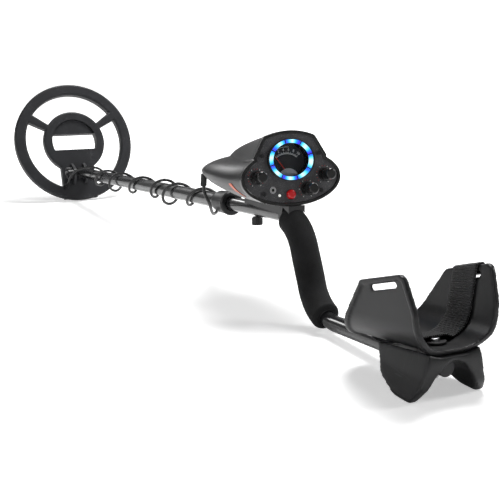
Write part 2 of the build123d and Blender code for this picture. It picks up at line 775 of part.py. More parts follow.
write(front_panel, "front_panel")

with BuildPart() as panel_rim:
    add(plate(-rim_out_panel, -rim_back + seat_gap, 1.4, rim_in))
    add(plate(rim_in - 1, -rim_back + seat_gap, -plate_thick - seat_gap, rim_in + 1.5))
    fillet(panel_rim.faces().sort_by(Axis(panel.origin, panel.z_dir))[-1].edges(), 0.6)
write(panel_rim, "panel_rim")

with BuildPart() as panel_screws:
    add(posts(screw_r, screw_places, -boss_back + 2, 0))
    add(posts(2.8, screw_places, seat_gap, 1.6))
    with BuildSketch(panel.offset(1.6)):
        with Locations(*screw_places):
            Rectangle(3.4, 0.8)
            Rectangle(0.8, 3.4)
    extrude(amount=-0.8, mode=Mode.SUBTRACT)
write(panel_screws, "panel_screws")

# ---- meter ----
bezel_half = (31.8, 25.2)
ring_out = (30.0, 24.4)
ring_in = (24.5, 20.3)
bezel_base = 1.0
bezel_high = 3.2
well_deep = 12.0
divider = 1.2


def oval_plate(half, low, high, hole=None):
    """An oval plate on the panel, or an oval ring when a hole is given."""
    with BuildPart() as piece:
        with BuildSketch(panel.offset(low)):
            Ellipse(*half)
            if hole:
                Ellipse(*hole, mode=Mode.SUBTRACT)
        extrude(amount=high - low)
    return piece.part


def less(half, gap):
    """An oval's half sizes, smaller by a gap."""
    return (half[0] - gap, half[1] - gap)


def divider_bars(width, low, high):
    """Bars that part the light ring into eight."""
    with BuildPart() as bars:
        for number in range(8):
            angle = radians(22.5 + 45 * number - 8)
            middle = Vector(27.2 * cos(angle), 22.4 * sin(angle))
            with BuildSketch(panel.offset(low)):
                with Locations(middle):
                    Rectangle(9, width, rotation=degrees(angle))
            extrude(amount=high - low)
    return bars.part


with BuildPart() as meter_bezel:
    add(oval_plate(bezel_half, 0, bezel_base, ring_in))
    add(oval_plate(less(opening, seat_gap), -well_deep, 0, ring_in))
    add(oval_plate(bezel_half, bezel_base, bezel_high, ring_out))
    ring_zone = oval_plate(less(ring_out, -0.3), bezel_base - 0.3, bezel_high - 0.5, less(ring_in, -0.2))
    add(ring_zone & divider_bars(divider, bezel_base - 0.3, bezel_high - 0.5))
write(meter_bezel, "meter_bezel")

with BuildPart() as led_segments:
    add(oval_plate(less(ring_out, seat_gap), bezel_base, bezel_high - 0.8, ring_in))
    add(divider_bars(divider + 2 * seat_gap, 0, bezel_high + 1), mode=Mode.SUBTRACT)
write(led_segments, "led_segments")

dial_thick = 1.2
needle_at = Vector(0, -15.5)
pin_r = 0.8
with BuildPart() as meter_dial:
    add(oval_plate(less(ring_in, seat_gap), -well_deep, -well_deep + dial_thick))
    with BuildSketch(panel.offset(-well_deep)):
        with Locations(needle_at):
            Circle(pin_r + run_gap)
    extrude(amount=4, mode=Mode.SUBTRACT)
write(meter_dial, "meter_dial")

dial_top = -well_deep + dial_thick
with BuildPart() as meter_movement:
    add(oval_plate(less(opening, seat_gap), -well_deep - 2, -well_deep - seat_gap))
    add(posts(11, ((0, -2),), -well_deep - 13, -well_deep - 2))
write(meter_movement, "meter_movement")

needle_long = 24.5
needle_rest = 37.0        # degrees left of upright
with BuildPart() as needle:
    tip = Vector(-sin(radians(needle_rest)), cos(radians(needle_rest)))
    with BuildSketch(panel.offset(dial_top + 0.5)):
        with Locations(needle_at):
            Circle(1.8)
        with Locations(needle_at + tip * (needle_long / 2 - 2)):
            Rectangle(needle_long + 4, 0.9, rotation=90 + needle_rest)
    extrude(amount=0.5)
    with BuildSketch(panel.offset(dial_top + 0.9)):
        with Locations(needle_at):
            Circle(pin_r)
    extrude(amount=-1.9)
write(needle, "needle")

with BuildPart() as hub_cover:
    with BuildSketch(panel.offset(dial_top + 2)):
        with Locations((0, -21)):
            Ellipse(13, 11)
        Ellipse(*less(ring_in, 0.3), mode=Mode.INTERSECT)
    extrude(amount=1.4)
    with BuildSketch(panel.offset(dial_top + seat_gap)):
        with Locations((-8.5, -17), (8.5, -17)):
            Circle(1.0)
    extrude(amount=2)
write(hub_cover, "hub_cover")

with BuildPart() as meter_lens:
    add(oval_plate(less(ring_in, seat_gap), -1.2, 0.2))
write(meter_lens, "meter_lens")

# ---- knobs, each on a potentiometer ----
shaft_r = 3.0
nut_thick_pot = 2.0
pot_body_r = 7.8
with BuildPart() as potentiometers:
    add(posts(pot_body_r, knob_places.values(), -12.5, -plate_thick - seat_gap, shaft_r + run_gap))
    add(posts(bushing_r, knob_places.values(), -plate_thick - 0.2, 3.2, shaft_r + run_gap))
write(potentiometers, "potentiometers")

with BuildPart() as pot_nuts:
    with BuildSketch(panel.offset(seat_gap)):
        with Locations(*knob_places.values()):
            RegularPolygon(5.2, 6)
            Circle(bushing_r + seat_gap, mode=Mode.SUBTRACT)
    extrude(amount=nut_thick_pot)
write(pot_nuts, "pot_nuts")

knob_low = 0.8
for name, place in knob_places.items():
    shaft = posts(shaft_r, (place,), -11, knob_low + knob_h - 5)
    with BuildPart() as pot_shaft:
        add(shaft)
    write(pot_shaft, f"knob_shaft_{name}")
    with BuildPart() as knob:
        with BuildSketch(panel.offset(knob_low)):
            with Locations(place):
                Circle(knob_d / 2)
        extrude(amount=3.5)
        with BuildSketch(panel.offset(knob_low + 3.5)):
            with Locations(place):
                Circle(knob_d / 2 - 1.2)
        extrude(amount=knob_h - 3.5, taper=2)
        top_edge = knob.faces().sort_by(Axis(panel.origin, panel.z_dir))[-1].edges()
        fillet(top_edge, 1.5)
        with BuildSketch(panel.offset(knob_low + 4.5)):
            with Locations(place):
                with PolarLocations(knob_d / 2 - 0.6, 14):
                    Circle(0.8)
        extrude(amount=knob_h, mode=Mode.SUBTRACT)
        with BuildSketch(panel.offset(knob_low)):
            with Locations(place):
                Circle(6.0)
        extrude(amount=2.8, mode=Mode.SUBTRACT)
        with BuildSketch(panel.offset(knob_low)):
            with Locations(place):
                Circle(shaft_r + 0.02)
        extrude(amount=knob_h - 4.9, mode=Mode.SUBTRACT)
    write(knob, f"knob_{name}")

# ---- button, headphone jack and lamp ----
press = 1.5
with BuildPart() as push_button:
    with BuildSketch(panel.offset(-plate_thick - 1.6)):
        with Locations(button_at):
            Circle(button_r + 1.2)
    extrude(amount=1.5)
    with BuildSketch(panel.offset(-plate_thick - 0.5)):
        with Locations(button_at):
            Circle(button_r)
    extrude(amount=plate_thick + 4.5)
    fillet(push_button.faces().sort_by(Axis(panel.origin, panel.z_dir))[-1].edges(), 2.6)
    with BuildSketch(panel.offset(-plate_thick - 1.6)):
        with Locations(button_at):
            Circle(1.8)
    extrude(amount=-2.6)
write(push_button, "push_button")

with BuildPart() as button_switch:
    with BuildSketch(panel.offset(-plate_thick - 4.4)):
        with Locations(button_at):
            Rectangle(11, 11)
    extrude(amount=-6)
    with BuildSketch(panel.offset(-plate_thick - 4.4)):
        with Locations(button_at):
            Circle(2.0)
    extrude(amount=-2, mode=Mode.SUBTRACT)
write(button_switch, "button_switch")

jack_bore_r = 1.8
jack_deep = 13.0
jack_face = 1.6
with BuildPart() as headphone_jack:
    with BuildSketch(panel.offset(-plate_thick - seat_gap)):
        with Locations(jack_at):
            Rectangle(10, 9)
            Circle(jack_r + seat_gap, mode=Mode.SUBTRACT)
    extrude(amount=-11)
write(headphone_jack, "headphone_jack")

with BuildPart() as jack_sleeve:
    add(posts(jack_r, (jack_at,), jack_face - jack_deep, jack_face, jack_bore_r))
write(jack_sleeve, "jack_sleeve")

with BuildPart() as jack_nut:
    add(posts(4.2, (jack_at,), seat_gap, 1.4, jack_r + seat_gap))
write(jack_nut, "jack_nut")

with BuildPart() as indicator_led:
    add(posts(led_r, (led_at,), -plate_thick - 1, 0.8))
    add(posts(led_r + 0.6, (led_at,), -plate_thick - 2, -plate_thick - seat_gap))
write(indicator_led, "indicator_led")

# ---- circuit board on four standoffs ----
board_deep = 28.0
board_thick = 1.6
standoff_places = ((-31, -13), (31, -13), (-12, -41), (11, -41))
with BuildPart() as circuit_board:
    with BuildSketch(panel.offset(-board_deep)):
        with Locations((0, -22)):
            Rectangle(84, 32)
        with Locations((0, -40)):
            Rectangle(34, 8)
        with Locations(*standoff_places):
            Circle(1.0, mode=Mode.SUBTRACT)
    extrude(amount=-board_thick)
write(circuit_board, "circuit_board")
with BuildPart() as board_standoffs:
    add(posts(2.0, standoff_places, -board_deep + seat_gap, -plate_thick - seat_gap))
write(board_standoffs, "board_standoffs")

# ---- bracket under the housing, held to the rod by the thumb screw ----
bracket_half = 11.0
bracket_front, bracket_back = -249.0, -372.0
block_front = -262.0      # in front of here the bracket is a low block
with BuildPart() as housing_bracket:
    add(box((-bracket_half, bracket_half), (bracket_back, bracket_front), (118, 150)))
    above_block = box((-bracket_half - 1, bracket_half + 1), (block_front, bracket_front + 1), (134, 151))
    add(above_block, mode=Mode.SUBTRACT)
    add(body_outer, mode=Mode.SUBTRACT)
    add(plate(-rim_out_panel - seat_gap, -rim_back, 60), mode=Mode.SUBTRACT)
    add(rod_cover(tube_r + seat_gap), mode=Mode.SUBTRACT)
    add(rod_cover(foam_d / 2 + loose_gap, 0, rod_path.trim((foam_from - 2) / rod_path.length, 0.6)),
        mode=Mode.SUBTRACT)
    with BuildSketch(thumb_axis.offset(-30)):
        Circle(thumb_shank_r + seat_gap)
    extrude(amount=30 + tube_r + 8, mode=Mode.SUBTRACT)
    add(box((-20, 20), (-345, bracket_front + 1), (100, 124)), mode=Mode.SUBTRACT)
write(housing_bracket, "housing_bracket")

thumb_d = 14.5
thumb_h = 11.0
thumb_top = -tube_r - 1.0
with BuildPart() as thumb_screw:
    with BuildSketch(thumb_axis.offset(thumb_top)):
        Circle(thumb_d / 2 - 1.5)
    extrude(amount=-2)
    with BuildSketch(thumb_axis.offset(thumb_top - 1.5)):
        Circle(thumb_d / 2)
    extrude(amount=-thumb_h + 1.5)
    fillet(thumb_screw.faces().sort_by(Axis.Z)[0].edges(), 1.2)
    with BuildSketch(thumb_axis.offset(thumb_top)):
        with PolarLocations(thumb_d / 2 + 0.4, 12):
            Circle(1.1)
    extrude(amount=-thumb_h, mode=Mode.SUBTRACT)
    with BuildSketch(thumb_axis.offset(thumb_top)):
        Circle(thumb_shank_r)
    extrude(amount=tube_r + 7 - thumb_top)
write(thumb_screw, "thumb_screw")

# coloured inlays low on the sides of the housing, just ahead of the rim
with BuildPart() as accent_inlays:
    with BuildSketch(Plane.YZ.offset(-70)):
        with BuildLine():
            Polyline((-326, 163), (-318, 161.5), (-328, 154), (-341, 147), (-337, 154), close=True)
        make_face()
    extrude(amount=140)
    add(ovals(lobe, -0.6, rim_back), mode=Mode.INTERSECT)
    add(ovals(lobe, -0.05, rim_back), mode=Mode.SUBTRACT)
    add(box((-30, 30), (-360, -300), (100, 180)), mode=Mode.SUBTRACT)
write(accent_inlays, "accent_inlays")

# ---- cable glands and cable ----
with BuildPart() as nose_gland:
    with BuildSketch(nose_gland_plane):
        Circle(4.2)
        Circle(cable_r + seat_gap, mode=Mode.SUBTRACT)
    extrude(amount=gland_long)
write(nose_gland, "nose_gland")

wrap_r = lower_r + cable_r + 1.45   # corners of the turns, so that their chords clear the rod
# the cable's half turns round the lower rod, top and bottom in turn, from the coil to the collar:
# distance forward along the rod, and how far the cable hangs off it
half_turns = ((490, 2.0), (448, 4.0), (396, 0.4), (345, 8.5), (305, 0.3), (240, 3.5), (186, 0.2),
              (122, 2.0), (78, 2.5), (58, 8.8), (14, 0.4), (-32, 2.0), (-90, 0.0))
steps = 4                 # corners to each half turn


def turns():
    """Corners of the turns, sagging smoothly from one half turn to the next."""
    corners = []
    for number in range(len(half_turns) - 1):
        (start, loose_a), (end, loose_b) = half_turns[number:number + 2]
        for step in range(steps):
            share = step / steps
            soft = (1 - cos(pi * share)) / 2
            angle = -pi * (number + share)
            radius = wrap_r + loose_a + (loose_b - loose_a) * soft
            corners.append(on_rod(start + (end - start) * share, -radius * sin(angle), radius * cos(angle)))
    return corners


coil_lead = [gland_plane.origin + out_disc * 5, gland_plane.origin + out_disc * 21,
             Vector(-34, 559, 54), Vector(-29, 530, 73), Vector(-15, 508, 83)]
box_lead = [on_rod(-90, 0, wrap_r), on_rod(-100, 10.4, 10.4), on_rod(-109, wrap_r, 0), on_rod(-118, 11, -11),
            on_rod(-130, 1, -17), on_rod(-146, -11, -18.5), on_rod(-164, -22, -10),
            Vector(-31, -181, 112.5), Vector(-38.5, -185, 124), nose_gland_plane.origin + nose_gland_dir * 20,
            nose_gland_plane.origin + nose_gland_dir * 3]
route = coil_lead + turns() + box_lead
coil_cut = len(coil_lead) + 1     # the lead ends in the run after this corner
box_cut = len(route) - 8


def cord(points, name):
    """A round cord along runs joined by tangent arcs."""
    radii = []
    for before, corner, after in zip(points, points[1:], points[2:]):
        shorter = min((corner - before).length, (after - corner).length)
        turn = (corner - before).get_angle(after - corner)
        radii.append(0.45 * shorter / tan(radians(turn / 2)))
    with BuildPart() as piece:
        with BuildLine() as line:
            FilletPolyline(*points, radius=radii)
        with BuildSketch(Plane(origin=points[0], z_dir=points[1] - points[0])):
            Circle(cable_r)
        sweep(path=line.wires()[0])
    length = line.wires()[0].length
    print(name, "length", round(length), "least radius", round(min(radii), 1),
          "volume ratio", round(piece.part.volume / (pi * cable_r ** 2 * length), 4))
    write(piece, name)


coil_joint = (route[coil_cut] + route[coil_cut + 1]) * 0.5
box_joint = (route[box_cut] + route[box_cut + 1]) * 0.5
cord(route[:coil_cut + 1] + [coil_joint], "cable_coil_lead")
cord([coil_joint] + route[coil_cut + 1:box_cut + 1] + [box_joint], "cable_winding")
cord([box_joint] + route[box_cut + 1:], "cable_box_lead")
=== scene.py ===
# %% [markdown]
# # A metal detector, piece by piece
#
# The hard parts come from a measured CAD model, already in place and in metres. This lesson dresses them:
# each one gets a finish made of shader nodes, and the soft or very fine parts (the cable, the foam grip, the
# cuff strap, the scale of the meter) are made here as surfaces worked out with numpy.
# The row frame is +X to the user's right, +Y from the arm cuff to the coil, +Z up, with the floor at z = 0.

# %% Load the frame
import json
from math import cos, pi, radians, sin, tan

import bpy
import numpy as np
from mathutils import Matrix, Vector


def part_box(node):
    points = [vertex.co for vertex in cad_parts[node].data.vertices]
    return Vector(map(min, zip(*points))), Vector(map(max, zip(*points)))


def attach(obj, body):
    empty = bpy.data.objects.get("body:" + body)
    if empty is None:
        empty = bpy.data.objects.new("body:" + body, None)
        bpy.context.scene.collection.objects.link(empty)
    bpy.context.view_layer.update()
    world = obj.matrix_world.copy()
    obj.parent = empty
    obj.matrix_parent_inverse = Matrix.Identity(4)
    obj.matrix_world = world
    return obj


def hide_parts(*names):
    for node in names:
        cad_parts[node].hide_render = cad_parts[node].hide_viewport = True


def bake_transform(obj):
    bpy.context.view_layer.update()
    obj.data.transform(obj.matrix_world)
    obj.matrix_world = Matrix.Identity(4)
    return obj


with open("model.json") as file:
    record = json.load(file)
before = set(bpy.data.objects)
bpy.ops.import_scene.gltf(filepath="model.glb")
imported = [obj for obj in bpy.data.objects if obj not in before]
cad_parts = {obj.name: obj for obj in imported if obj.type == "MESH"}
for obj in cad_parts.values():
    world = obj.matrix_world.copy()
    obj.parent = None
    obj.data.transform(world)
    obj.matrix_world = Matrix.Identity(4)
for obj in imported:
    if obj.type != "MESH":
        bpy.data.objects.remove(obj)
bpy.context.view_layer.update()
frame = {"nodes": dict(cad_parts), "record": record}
nodes = frame["nodes"]
for plain in bpy.data.materials:
    plain.name = "plain_" + plain.name
MM = 0.001


def placed(name, data):
    """A new object with its data, linked into the scene."""
    thing = bpy.data.objects.new(name, data)
    bpy.context.scene.collection.objects.link(thing)
    return thing


# %% [markdown]
# ## Camera and studio
#
# The detector is seen from behind its left side, a little above. A long lens keeps the coil, which is far
# away, from shrinking too much. The studio is a pale round cove: a floor that curves up into a wall on every
# side, so that no horizon shows from anywhere.

# %% Camera
camera_data = bpy.data.cameras.new("camera")
camera_data.sensor_width = 36.0
camera_data.lens = 65.4
camera_data.clip_end = 100.0
camera = placed("camera", camera_data)
camera.location = (-0.5186, -1.314, 0.3215)
camera.rotation_euler = (radians(90 - 12.51), 0, radians(-25.84))
bpy.context.scene.camera = camera
print("camera", tuple(camera.location))

# %% [markdown]
# ## A helper for surfaces
#
# Every new piece is a grid of points: rows along the piece, columns round or across it. The helper joins
# neighbours into four-sided faces, closes the grid where it is asked to, and can cap open ends with one
# fan of faces each, so that a tube is a closed skin.


# %% Grid surfaces
def grid_piece(name, points, around=False, caps=False, uv=None):
    """A mesh from an array of points, rows by columns by xyz, in metres.

    Face (i, j) joins points (i, j), (i, j+1), (i+1, j+1) and (i+1, j); with around, the last column joins the
    first. Caps add a centre point at each end, the mean of its row, and a fan of triangles."""
    rows, columns = points.shape[:2]
    i, j = np.meshgrid(np.arange(rows - 1), np.arange(columns if around else columns - 1), indexing="ij")
    right = (j + 1) % columns
    here, below = i * columns, (i + 1) * columns
    quads = np.stack([here + j, here + right, below + right, below + j], -1)
    faces = quads.reshape(-1, 4).tolist()
    verts = points.reshape(-1, 3)
    if caps:
        ends = np.stack([points[0].mean(0), points[-1].mean(0)])
        verts = np.vstack([verts, ends])
        here = np.arange(columns)
        after = (here + 1) % columns
        first, last = rows * columns, rows * columns + 1
        faces += np.stack([after, here, np.full(columns, first)], -1).tolist()
        base = (rows - 1) * columns
        faces += np.stack([base + here, base + after, np.full(columns, last)], -1).tolist()
    mesh = bpy.data.meshes.new(name)
    mesh.from_pydata(verts.tolist(), [], faces)
    mesh.shade_smooth()
    if uv is not None:
        layer = mesh.uv_layers.new(name="lay")
        corner = np.zeros(len(mesh.loops), np.int32)
        mesh.loops.foreach_get("vertex_index", corner)
        flat = np.vstack([uv.reshape(-1, 2), np.zeros((len(verts) - rows * columns, 2))])
        layer.data.foreach_set("uv", flat[corner].astype(np.float32).ravel())
    return placed(name, mesh)


# %% Cove
COVE_FLAT, COVE_CURVE, WALL_TOP = 4.0, 2.5, 4.0


def cove():
    """The studio floor: a profile turned about the vertical. It is flat out to F = 4 m, then a quarter circle
    of C = 2.5 m radius lifts it into a wall: r = F + C sin a and z = C (1 - cos a)."""
    rise = np.linspace(0, pi / 2, 25)
    r = np.concatenate([[0.001, 1, 2, 3], COVE_FLAT + COVE_CURVE * np.sin(rise), [COVE_FLAT + COVE_CURVE]])
    z = np.concatenate([[0, 0, 0, 0], COVE_CURVE * (1 - np.cos(rise)), [WALL_TOP]])
    turn = np.linspace(0, 2 * pi, 96, endpoint=False)
    points = np.stack([r[:, None] * np.cos(turn), r[:, None] * np.sin(turn), z[:, None] + 0 * turn], -1)
    return grid_piece("studio_cove", points, around=True)


floor = cove()
print("floor faces", len(floor.data.polygons))


# %% Lights
def softbox(name, place, aim, size, power):
    """An area light at a place, turned to look at a point."""
    data = bpy.data.lights.new(name, "AREA")
    data.shape = "RECTANGLE"
    data.size, data.size_y = size
    data.energy = power
    lamp = placed(name, data)
    lamp.location = place
    lamp.rotation_euler = (Vector(aim) - Vector(place)).to_track_quat("-Z", "Y").to_euler()


softbox("overhead", (0.7, 0.4, 2.4), (0, -0.1, 0.1), (1.1, 1.1), 72)
softbox("right", (2.2, -1.4, 1.4), (0, -0.3, 0.1), (0.5, 0.7), 20)
softbox("left", (-2.4, -1.2, 1.1), (0, 0, 0.1), (0.35, 1.0), 15)
softbox("behind", (-0.8, 3.0, 1.7), (0, 0.1, 0.1), (1.8, 0.5), 20)


def studio_world():
    """White surroundings for the camera, but little light from them, so that black stays black."""
    world = bpy.data.worlds.new("studio")
    bpy.context.scene.world = world
    world.use_nodes = True
    tree = world.node_tree
    quiet = tree.nodes["Background"]
    quiet.inputs["Color"].default_value = (1.0, 1.0, 1.0, 1)
    quiet.inputs["Strength"].default_value = 0.06
    bright = tree.nodes.new("ShaderNodeBackground")
    bright.inputs["Strength"].default_value = 1.0
    bright.inputs["Color"].default_value = (1.0, 1.0, 1.0, 1)
    seen = tree.nodes.new("ShaderNodeLightPath")
    either = tree.nodes.new("ShaderNodeMixShader")
    tree.links.new(seen.outputs["Is Camera Ray"], either.inputs[0])
    tree.links.new(quiet.outputs[0], either.inputs[1])
    tree.links.new(bright.outputs[0], either.inputs[2])
    tree.links.new(either.outputs[0], tree.nodes["World Output"].inputs["Surface"])


studio_world()
bpy.context.scene.view_settings.view_transform = "Standard"

# %% [markdown]
# ## The cable's line
#
# The search coil's cable leaves a gland on the coil, climbs to the lower rod, winds round it in six loose
# turns and goes into the nose of the control housing: 1.15 m of a round 4.5 mm cable of medium stiffness.
# It is one smooth line, a NURBS spline led by the route's corners. Because the coil tilts and the rod
# slides, the line is kept in three pieces that meet end to end: one at the coil, one that rides on the lower
# rod, and one at the housing.

# %% Places along the straight rod
ROD_SLOPE = 3.72
PIVOT_Y = 592.0
COIL_R, COIL_THICK, COIL_RIM, COIL_LEAN = 127.0, 19.0, 3.0, 70.46
PIVOT_DOWN, PIVOT_OUT = 72.0, 22.0
out_disc = Vector((0, -sin(radians(COIL_LEAN)), cos(radians(COIL_LEAN))))
up_disc = Vector((0, cos(radians(COIL_LEAN)), sin(radians(COIL_LEAN))))
contact_drop = ((COIL_R - COIL_RIM) * sin(radians(COIL_LEAN))
                + (COIL_THICK / 2 - COIL_RIM) * cos(radians(COIL_LEAN)) + COIL_RIM)
pivot_z = contact_drop + PIVOT_OUT * cos(radians(COIL_LEAN)) - PIVOT_DOWN * sin(radians(COIL_LEAN))
ROD_HEIGHT = pivot_z + PIVOT_Y * tan(radians(ROD_SLOPE))
disc_centre = Vector((0, PIVOT_Y, pivot_z)) + up_disc * PIVOT_DOWN - out_disc * PIVOT_OUT


def on_rod(along, right=0.0, up=0.0):
    """A point beside the straight rod's axis, in millimetres: along it, to its right and above it."""
    s, c = sin(radians(ROD_SLOPE)), cos(radians(ROD_SLOPE))
    return Vector((right, along * c + up * s, ROD_HEIGHT - along * s + up * c))


print("rod height over the middle", round(ROD_HEIGHT, 2), "pivot height", round(pivot_z, 2))

# %% The cable's corners
CABLE_D = 4.5
LOWER_R = 11.0
wrap_r = LOWER_R + CABLE_D / 2 + 1.45
half_turns = ((490, 2.0), (448, 4.0), (396, 0.4), (345, 8.5), (305, 0.3), (240, 3.5), (186, 0.2),
              (122, 2.0), (78, 2.5), (58, 8.8), (14, 0.4), (-32, 2.0), (-90, 0.0))
CORNERS = 4


def turns():
    """Corners of the turns round the rod. At each quarter of a half turn the angle grows by 45 degrees, and
    the radius moves from one half turn's looseness to the next with a cosine."""
    corners = []
    for number in range(len(half_turns) - 1):
        (start, loose_a), (end, loose_b) = half_turns[number:number + 2]
        for step in range(CORNERS):
            share = step / CORNERS
            radius = wrap_r + loose_a + (loose_b - loose_a) * (1 - cos(pi * share)) / 2
            angle = -pi * (number + share)
            along = start + (end - start) * share
            corners.append(on_rod(along, -radius * sin(angle), radius * cos(angle)))
    return corners


gland_foot = disc_centre + Vector((-31, 0, 0)) + up_disc * -97 + out_disc * (COIL_THICK / 2)
nose_gland_at = Vector((-41.5, -186, 155))
nose_gland_way = Vector((0, 0.15, -1)).normalized()
coil_lead = [gland_foot + out_disc * 5, gland_foot + out_disc * 21,
             Vector((-34, 559, 54)), Vector((-29, 530, 73)), Vector((-15, 508, 83))]
box_lead = [on_rod(-90, 0, wrap_r), on_rod(-100, 10.4, 10.4), on_rod(-109, wrap_r, 0),
            on_rod(-118, 11, -11), on_rod(-130, 1, -17), on_rod(-146, -11, -18.5), on_rod(-164, -22, -10),
            Vector((-31, -181, 112.5)), Vector((-38.5, -185, 124)),
            nose_gland_at + nose_gland_way * 20, nose_gland_at + nose_gland_way * 3]
route = coil_lead + turns() + box_lead
coil_cut = len(coil_lead) + 1
box_cut = len(route) - 8
coil_joint = (route[coil_cut] + route[coil_cut + 1]) * 0.5
box_joint = (route[box_cut] + route[box_cut + 1]) * 0.5
print("corners in the route", len(route), "cuts at", coil_cut, box_cut)


# %% Cable pieces
def spline(name, corners):
    """A smooth line led by the route's corners: a NURBS spline of order 3, from the first to the last."""
    curve = bpy.data.curves.new(name, "CURVE")
    curve.dimensions = "3D"
    line = curve.splines.new("NURBS")
    line.points.add(len(corners) - 1)
    flat = np.array([[*(p * MM), 1.0] for p in corners], np.float32)
    line.points.foreach_set("co", flat.ravel())
    line.order_u = 3
    line.use_endpoint_u = True
    line.resolution_u = 8
    return placed(name, curve)


def points_on(piece):
    """The points of a curve without thickness, in the row frame."""
    mesh = bpy.data.meshes.new_from_object(piece)
    points = np.zeros(len(mesh.vertices) * 3)
    mesh.vertices.foreach_get("co", points)
    bpy.data.meshes.remove(mesh)
    return points.reshape(-1, 3)


def tube(name, corners, sides=20):
    """A mesh tube round a spline, with a lay coordinate: u runs round it and v along it in metres.

    At a point p of the line with direction t, a = t x w and b = t x a are square to t, for a fixed w that the
    line never follows. The skin is p + r (cos(u) a + sin(u) b)."""
    guide = spline(name + "_guide", corners)
    p = points_on(guide)
    bpy.data.objects.remove(guide)
    t = np.gradient(p, axis=0)
    t /= np.linalg.norm(t, axis=1)[:, None]
    a = np.cross(t, np.array([0.31, 0.22, 0.92]))
    a /= np.linalg.norm(a, axis=1)[:, None]
    b = np.cross(t, a)
    u = np.linspace(0, 2 * pi, sides, endpoint=False)
    ring = np.cos(u)[None, :, None] * a[:, None] + np.sin(u)[None, :, None] * b[:, None]
    skin = p[:, None] + CABLE_D / 2 * MM * ring
    v = np.concatenate([[0], np.cumsum(np.linalg.norm(np.diff(p, axis=0), axis=1))])
    uv = np.stack([np.tile(u / (2 * pi), (len(p), 1)), np.tile(v[:, None], (1, sides))], -1)
    return grid_piece(name, skin, around=True, caps=True, uv=uv), p, float(v[-1])


coil_part, box_part = route[:coil_cut + 1], route[box_cut + 1:]
rod_part = route[coil_cut + 1:box_cut + 1]
coil_cable, coil_line, coil_long = tube("cable_at_coil", coil_part + [coil_joint])
rod_cable, rod_line, rod_long = tube("cable_on_rod", [coil_joint] + rod_part + [box_joint])
box_cable, box_line, box_long = tube("cable_at_housing", [box_joint] + box_part)
print("cable lengths in millimetres:", [round(x / MM) for x in (coil_long, rod_long, box_long)])
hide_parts("cable_coil_lead")
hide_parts("cable_winding")
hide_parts("cable_box_lead")
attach(rod_cable, "lower_rod")
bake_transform(coil_cable)
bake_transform(box_cable)

# %% [markdown]
# ## Foam grip
#
# The grip is a sleeve of closed-cell foam pushed over the S bend of the shaft. Real foam is never a perfect
# pipe: it swells where it is free, creases a little inside a bend, and its cut ends are soft. It is a profile
# carried along the shaft's line, with slow swells and dents and rounded ends added to its radius.

# %% The shaft's line through the grip
BEND_TOP, GRIP_LONG, GRIP_DROP, BEND_R = 376.0, 122.4, 65.0, 58.0
FOAM_INSET, TUBE_R, FOAM_R = 19.5, 9.5, 17.3


def grip_line(count=140):
    """Points and directions down the grip: an arc of the upper bend, a straight run and a second arc.

    The heading h falls from the rod's slope to the grip's drop over the first arc, at 1/R per millimetre, and
    climbs back over the second; the line is the running sum of (0, -cos h, -sin h)."""
    turn = radians(GRIP_DROP + ROD_SLOPE)
    arc, run = BEND_R * turn, GRIP_LONG - 2 * BEND_R * tan(turn / 2)
    total = 2 * (arc - FOAM_INSET) + run
    s = np.linspace(0, total, count)
    down = np.clip((s + FOAM_INSET) / arc, 0, 1)
    back = np.clip((s - (arc - FOAM_INSET) - run) / arc, 0, 1)
    heading = -radians(ROD_SLOPE) + turn * (down - back)
    way = np.stack([0 * s, -np.cos(heading), -np.sin(heading)], -1)
    steps = (way[1:] + way[:-1]) / 2 * np.diff(s)[:, None]
    bend_start = np.array(on_rod(-BEND_TOP + BEND_R * tan(turn / 2)))
    h = -radians(ROD_SLOPE) + turn * FOAM_INSET / arc
    centre = bend_start + BEND_R * np.array([0, -sin(radians(ROD_SLOPE)), -cos(radians(ROD_SLOPE))])
    start = centre + BEND_R * np.array([0, -sin(h), cos(h)])
    points = start + np.vstack([np.zeros(3), np.cumsum(steps, 0)])
    return points, way, s, total


def foam_sleeve():
    """A closed foam sleeve: the outer skin, rounded ends and the bore, carried down the grip's line.

    The outer radius is R - e, with slow swells and dents of a few tenths of a millimetre. At a distance d from
    an end, up to 5 mm, e = 4 (1 - sqrt(1 - (1 - d/5)^2)) mm rounds it."""
    points, way, s, total = grip_line()
    sides = 72
    u = np.linspace(0, 2 * pi, sides, endpoint=False)
    right = np.array([1.0, 0, 0])
    up = np.cross(right, way)
    ring = np.cos(u)[None, :, None] * right + np.sin(u)[None, :, None] * up[:, None]
    edge = np.clip(np.minimum(s, total - s) / 5.0, 0, 1)
    round_off = 4.0 * (1 - np.sqrt(1 - (1 - edge) ** 2))
    wave = 0.16 * np.sin(s[:, None] / 9 + 2 * np.sin(u)) + 0.12 * np.sin(s[:, None] / 23 + 3 * u)
    radius = FOAM_R - 0.25 - round_off[:, None] + wave
    outer = points[:, None] + radius[..., None] * ring
    inner = (points[:, None] + (TUBE_R + 0.15) * ring)[::-1]
    skin = np.concatenate([outer, inner, outer[:1]])
    return grid_piece("foam_sleeve", skin[::-1] * MM, around=True)


foam_piece = foam_sleeve()

# %% [markdown]
# ## Cuff strap
#
# A webbing strap lies along the cuff's floor, climbs the inside of the right wall, folds over its rim and
# comes down outside to a slot, where it goes back into the wall. It is cut from 36 mm hook webbing. Its
# middle surface is one grid: one direction runs along the strap and the other across it, and Solidify
# gives it its thickness.

# %% Strap
STRAP_WIDE, STRAP_THICK, STRAP_Y, SLOT_Y, SLOT_Z = 36.0, 1.5, -629.0, -631.0, 105.0
RIM_LEAN = 20.5 / 68
bolt_low, bolt_high = [np.array(corner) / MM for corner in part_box("cuff_washer")]
bolt_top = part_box("cuff_bolt")[1].z / MM


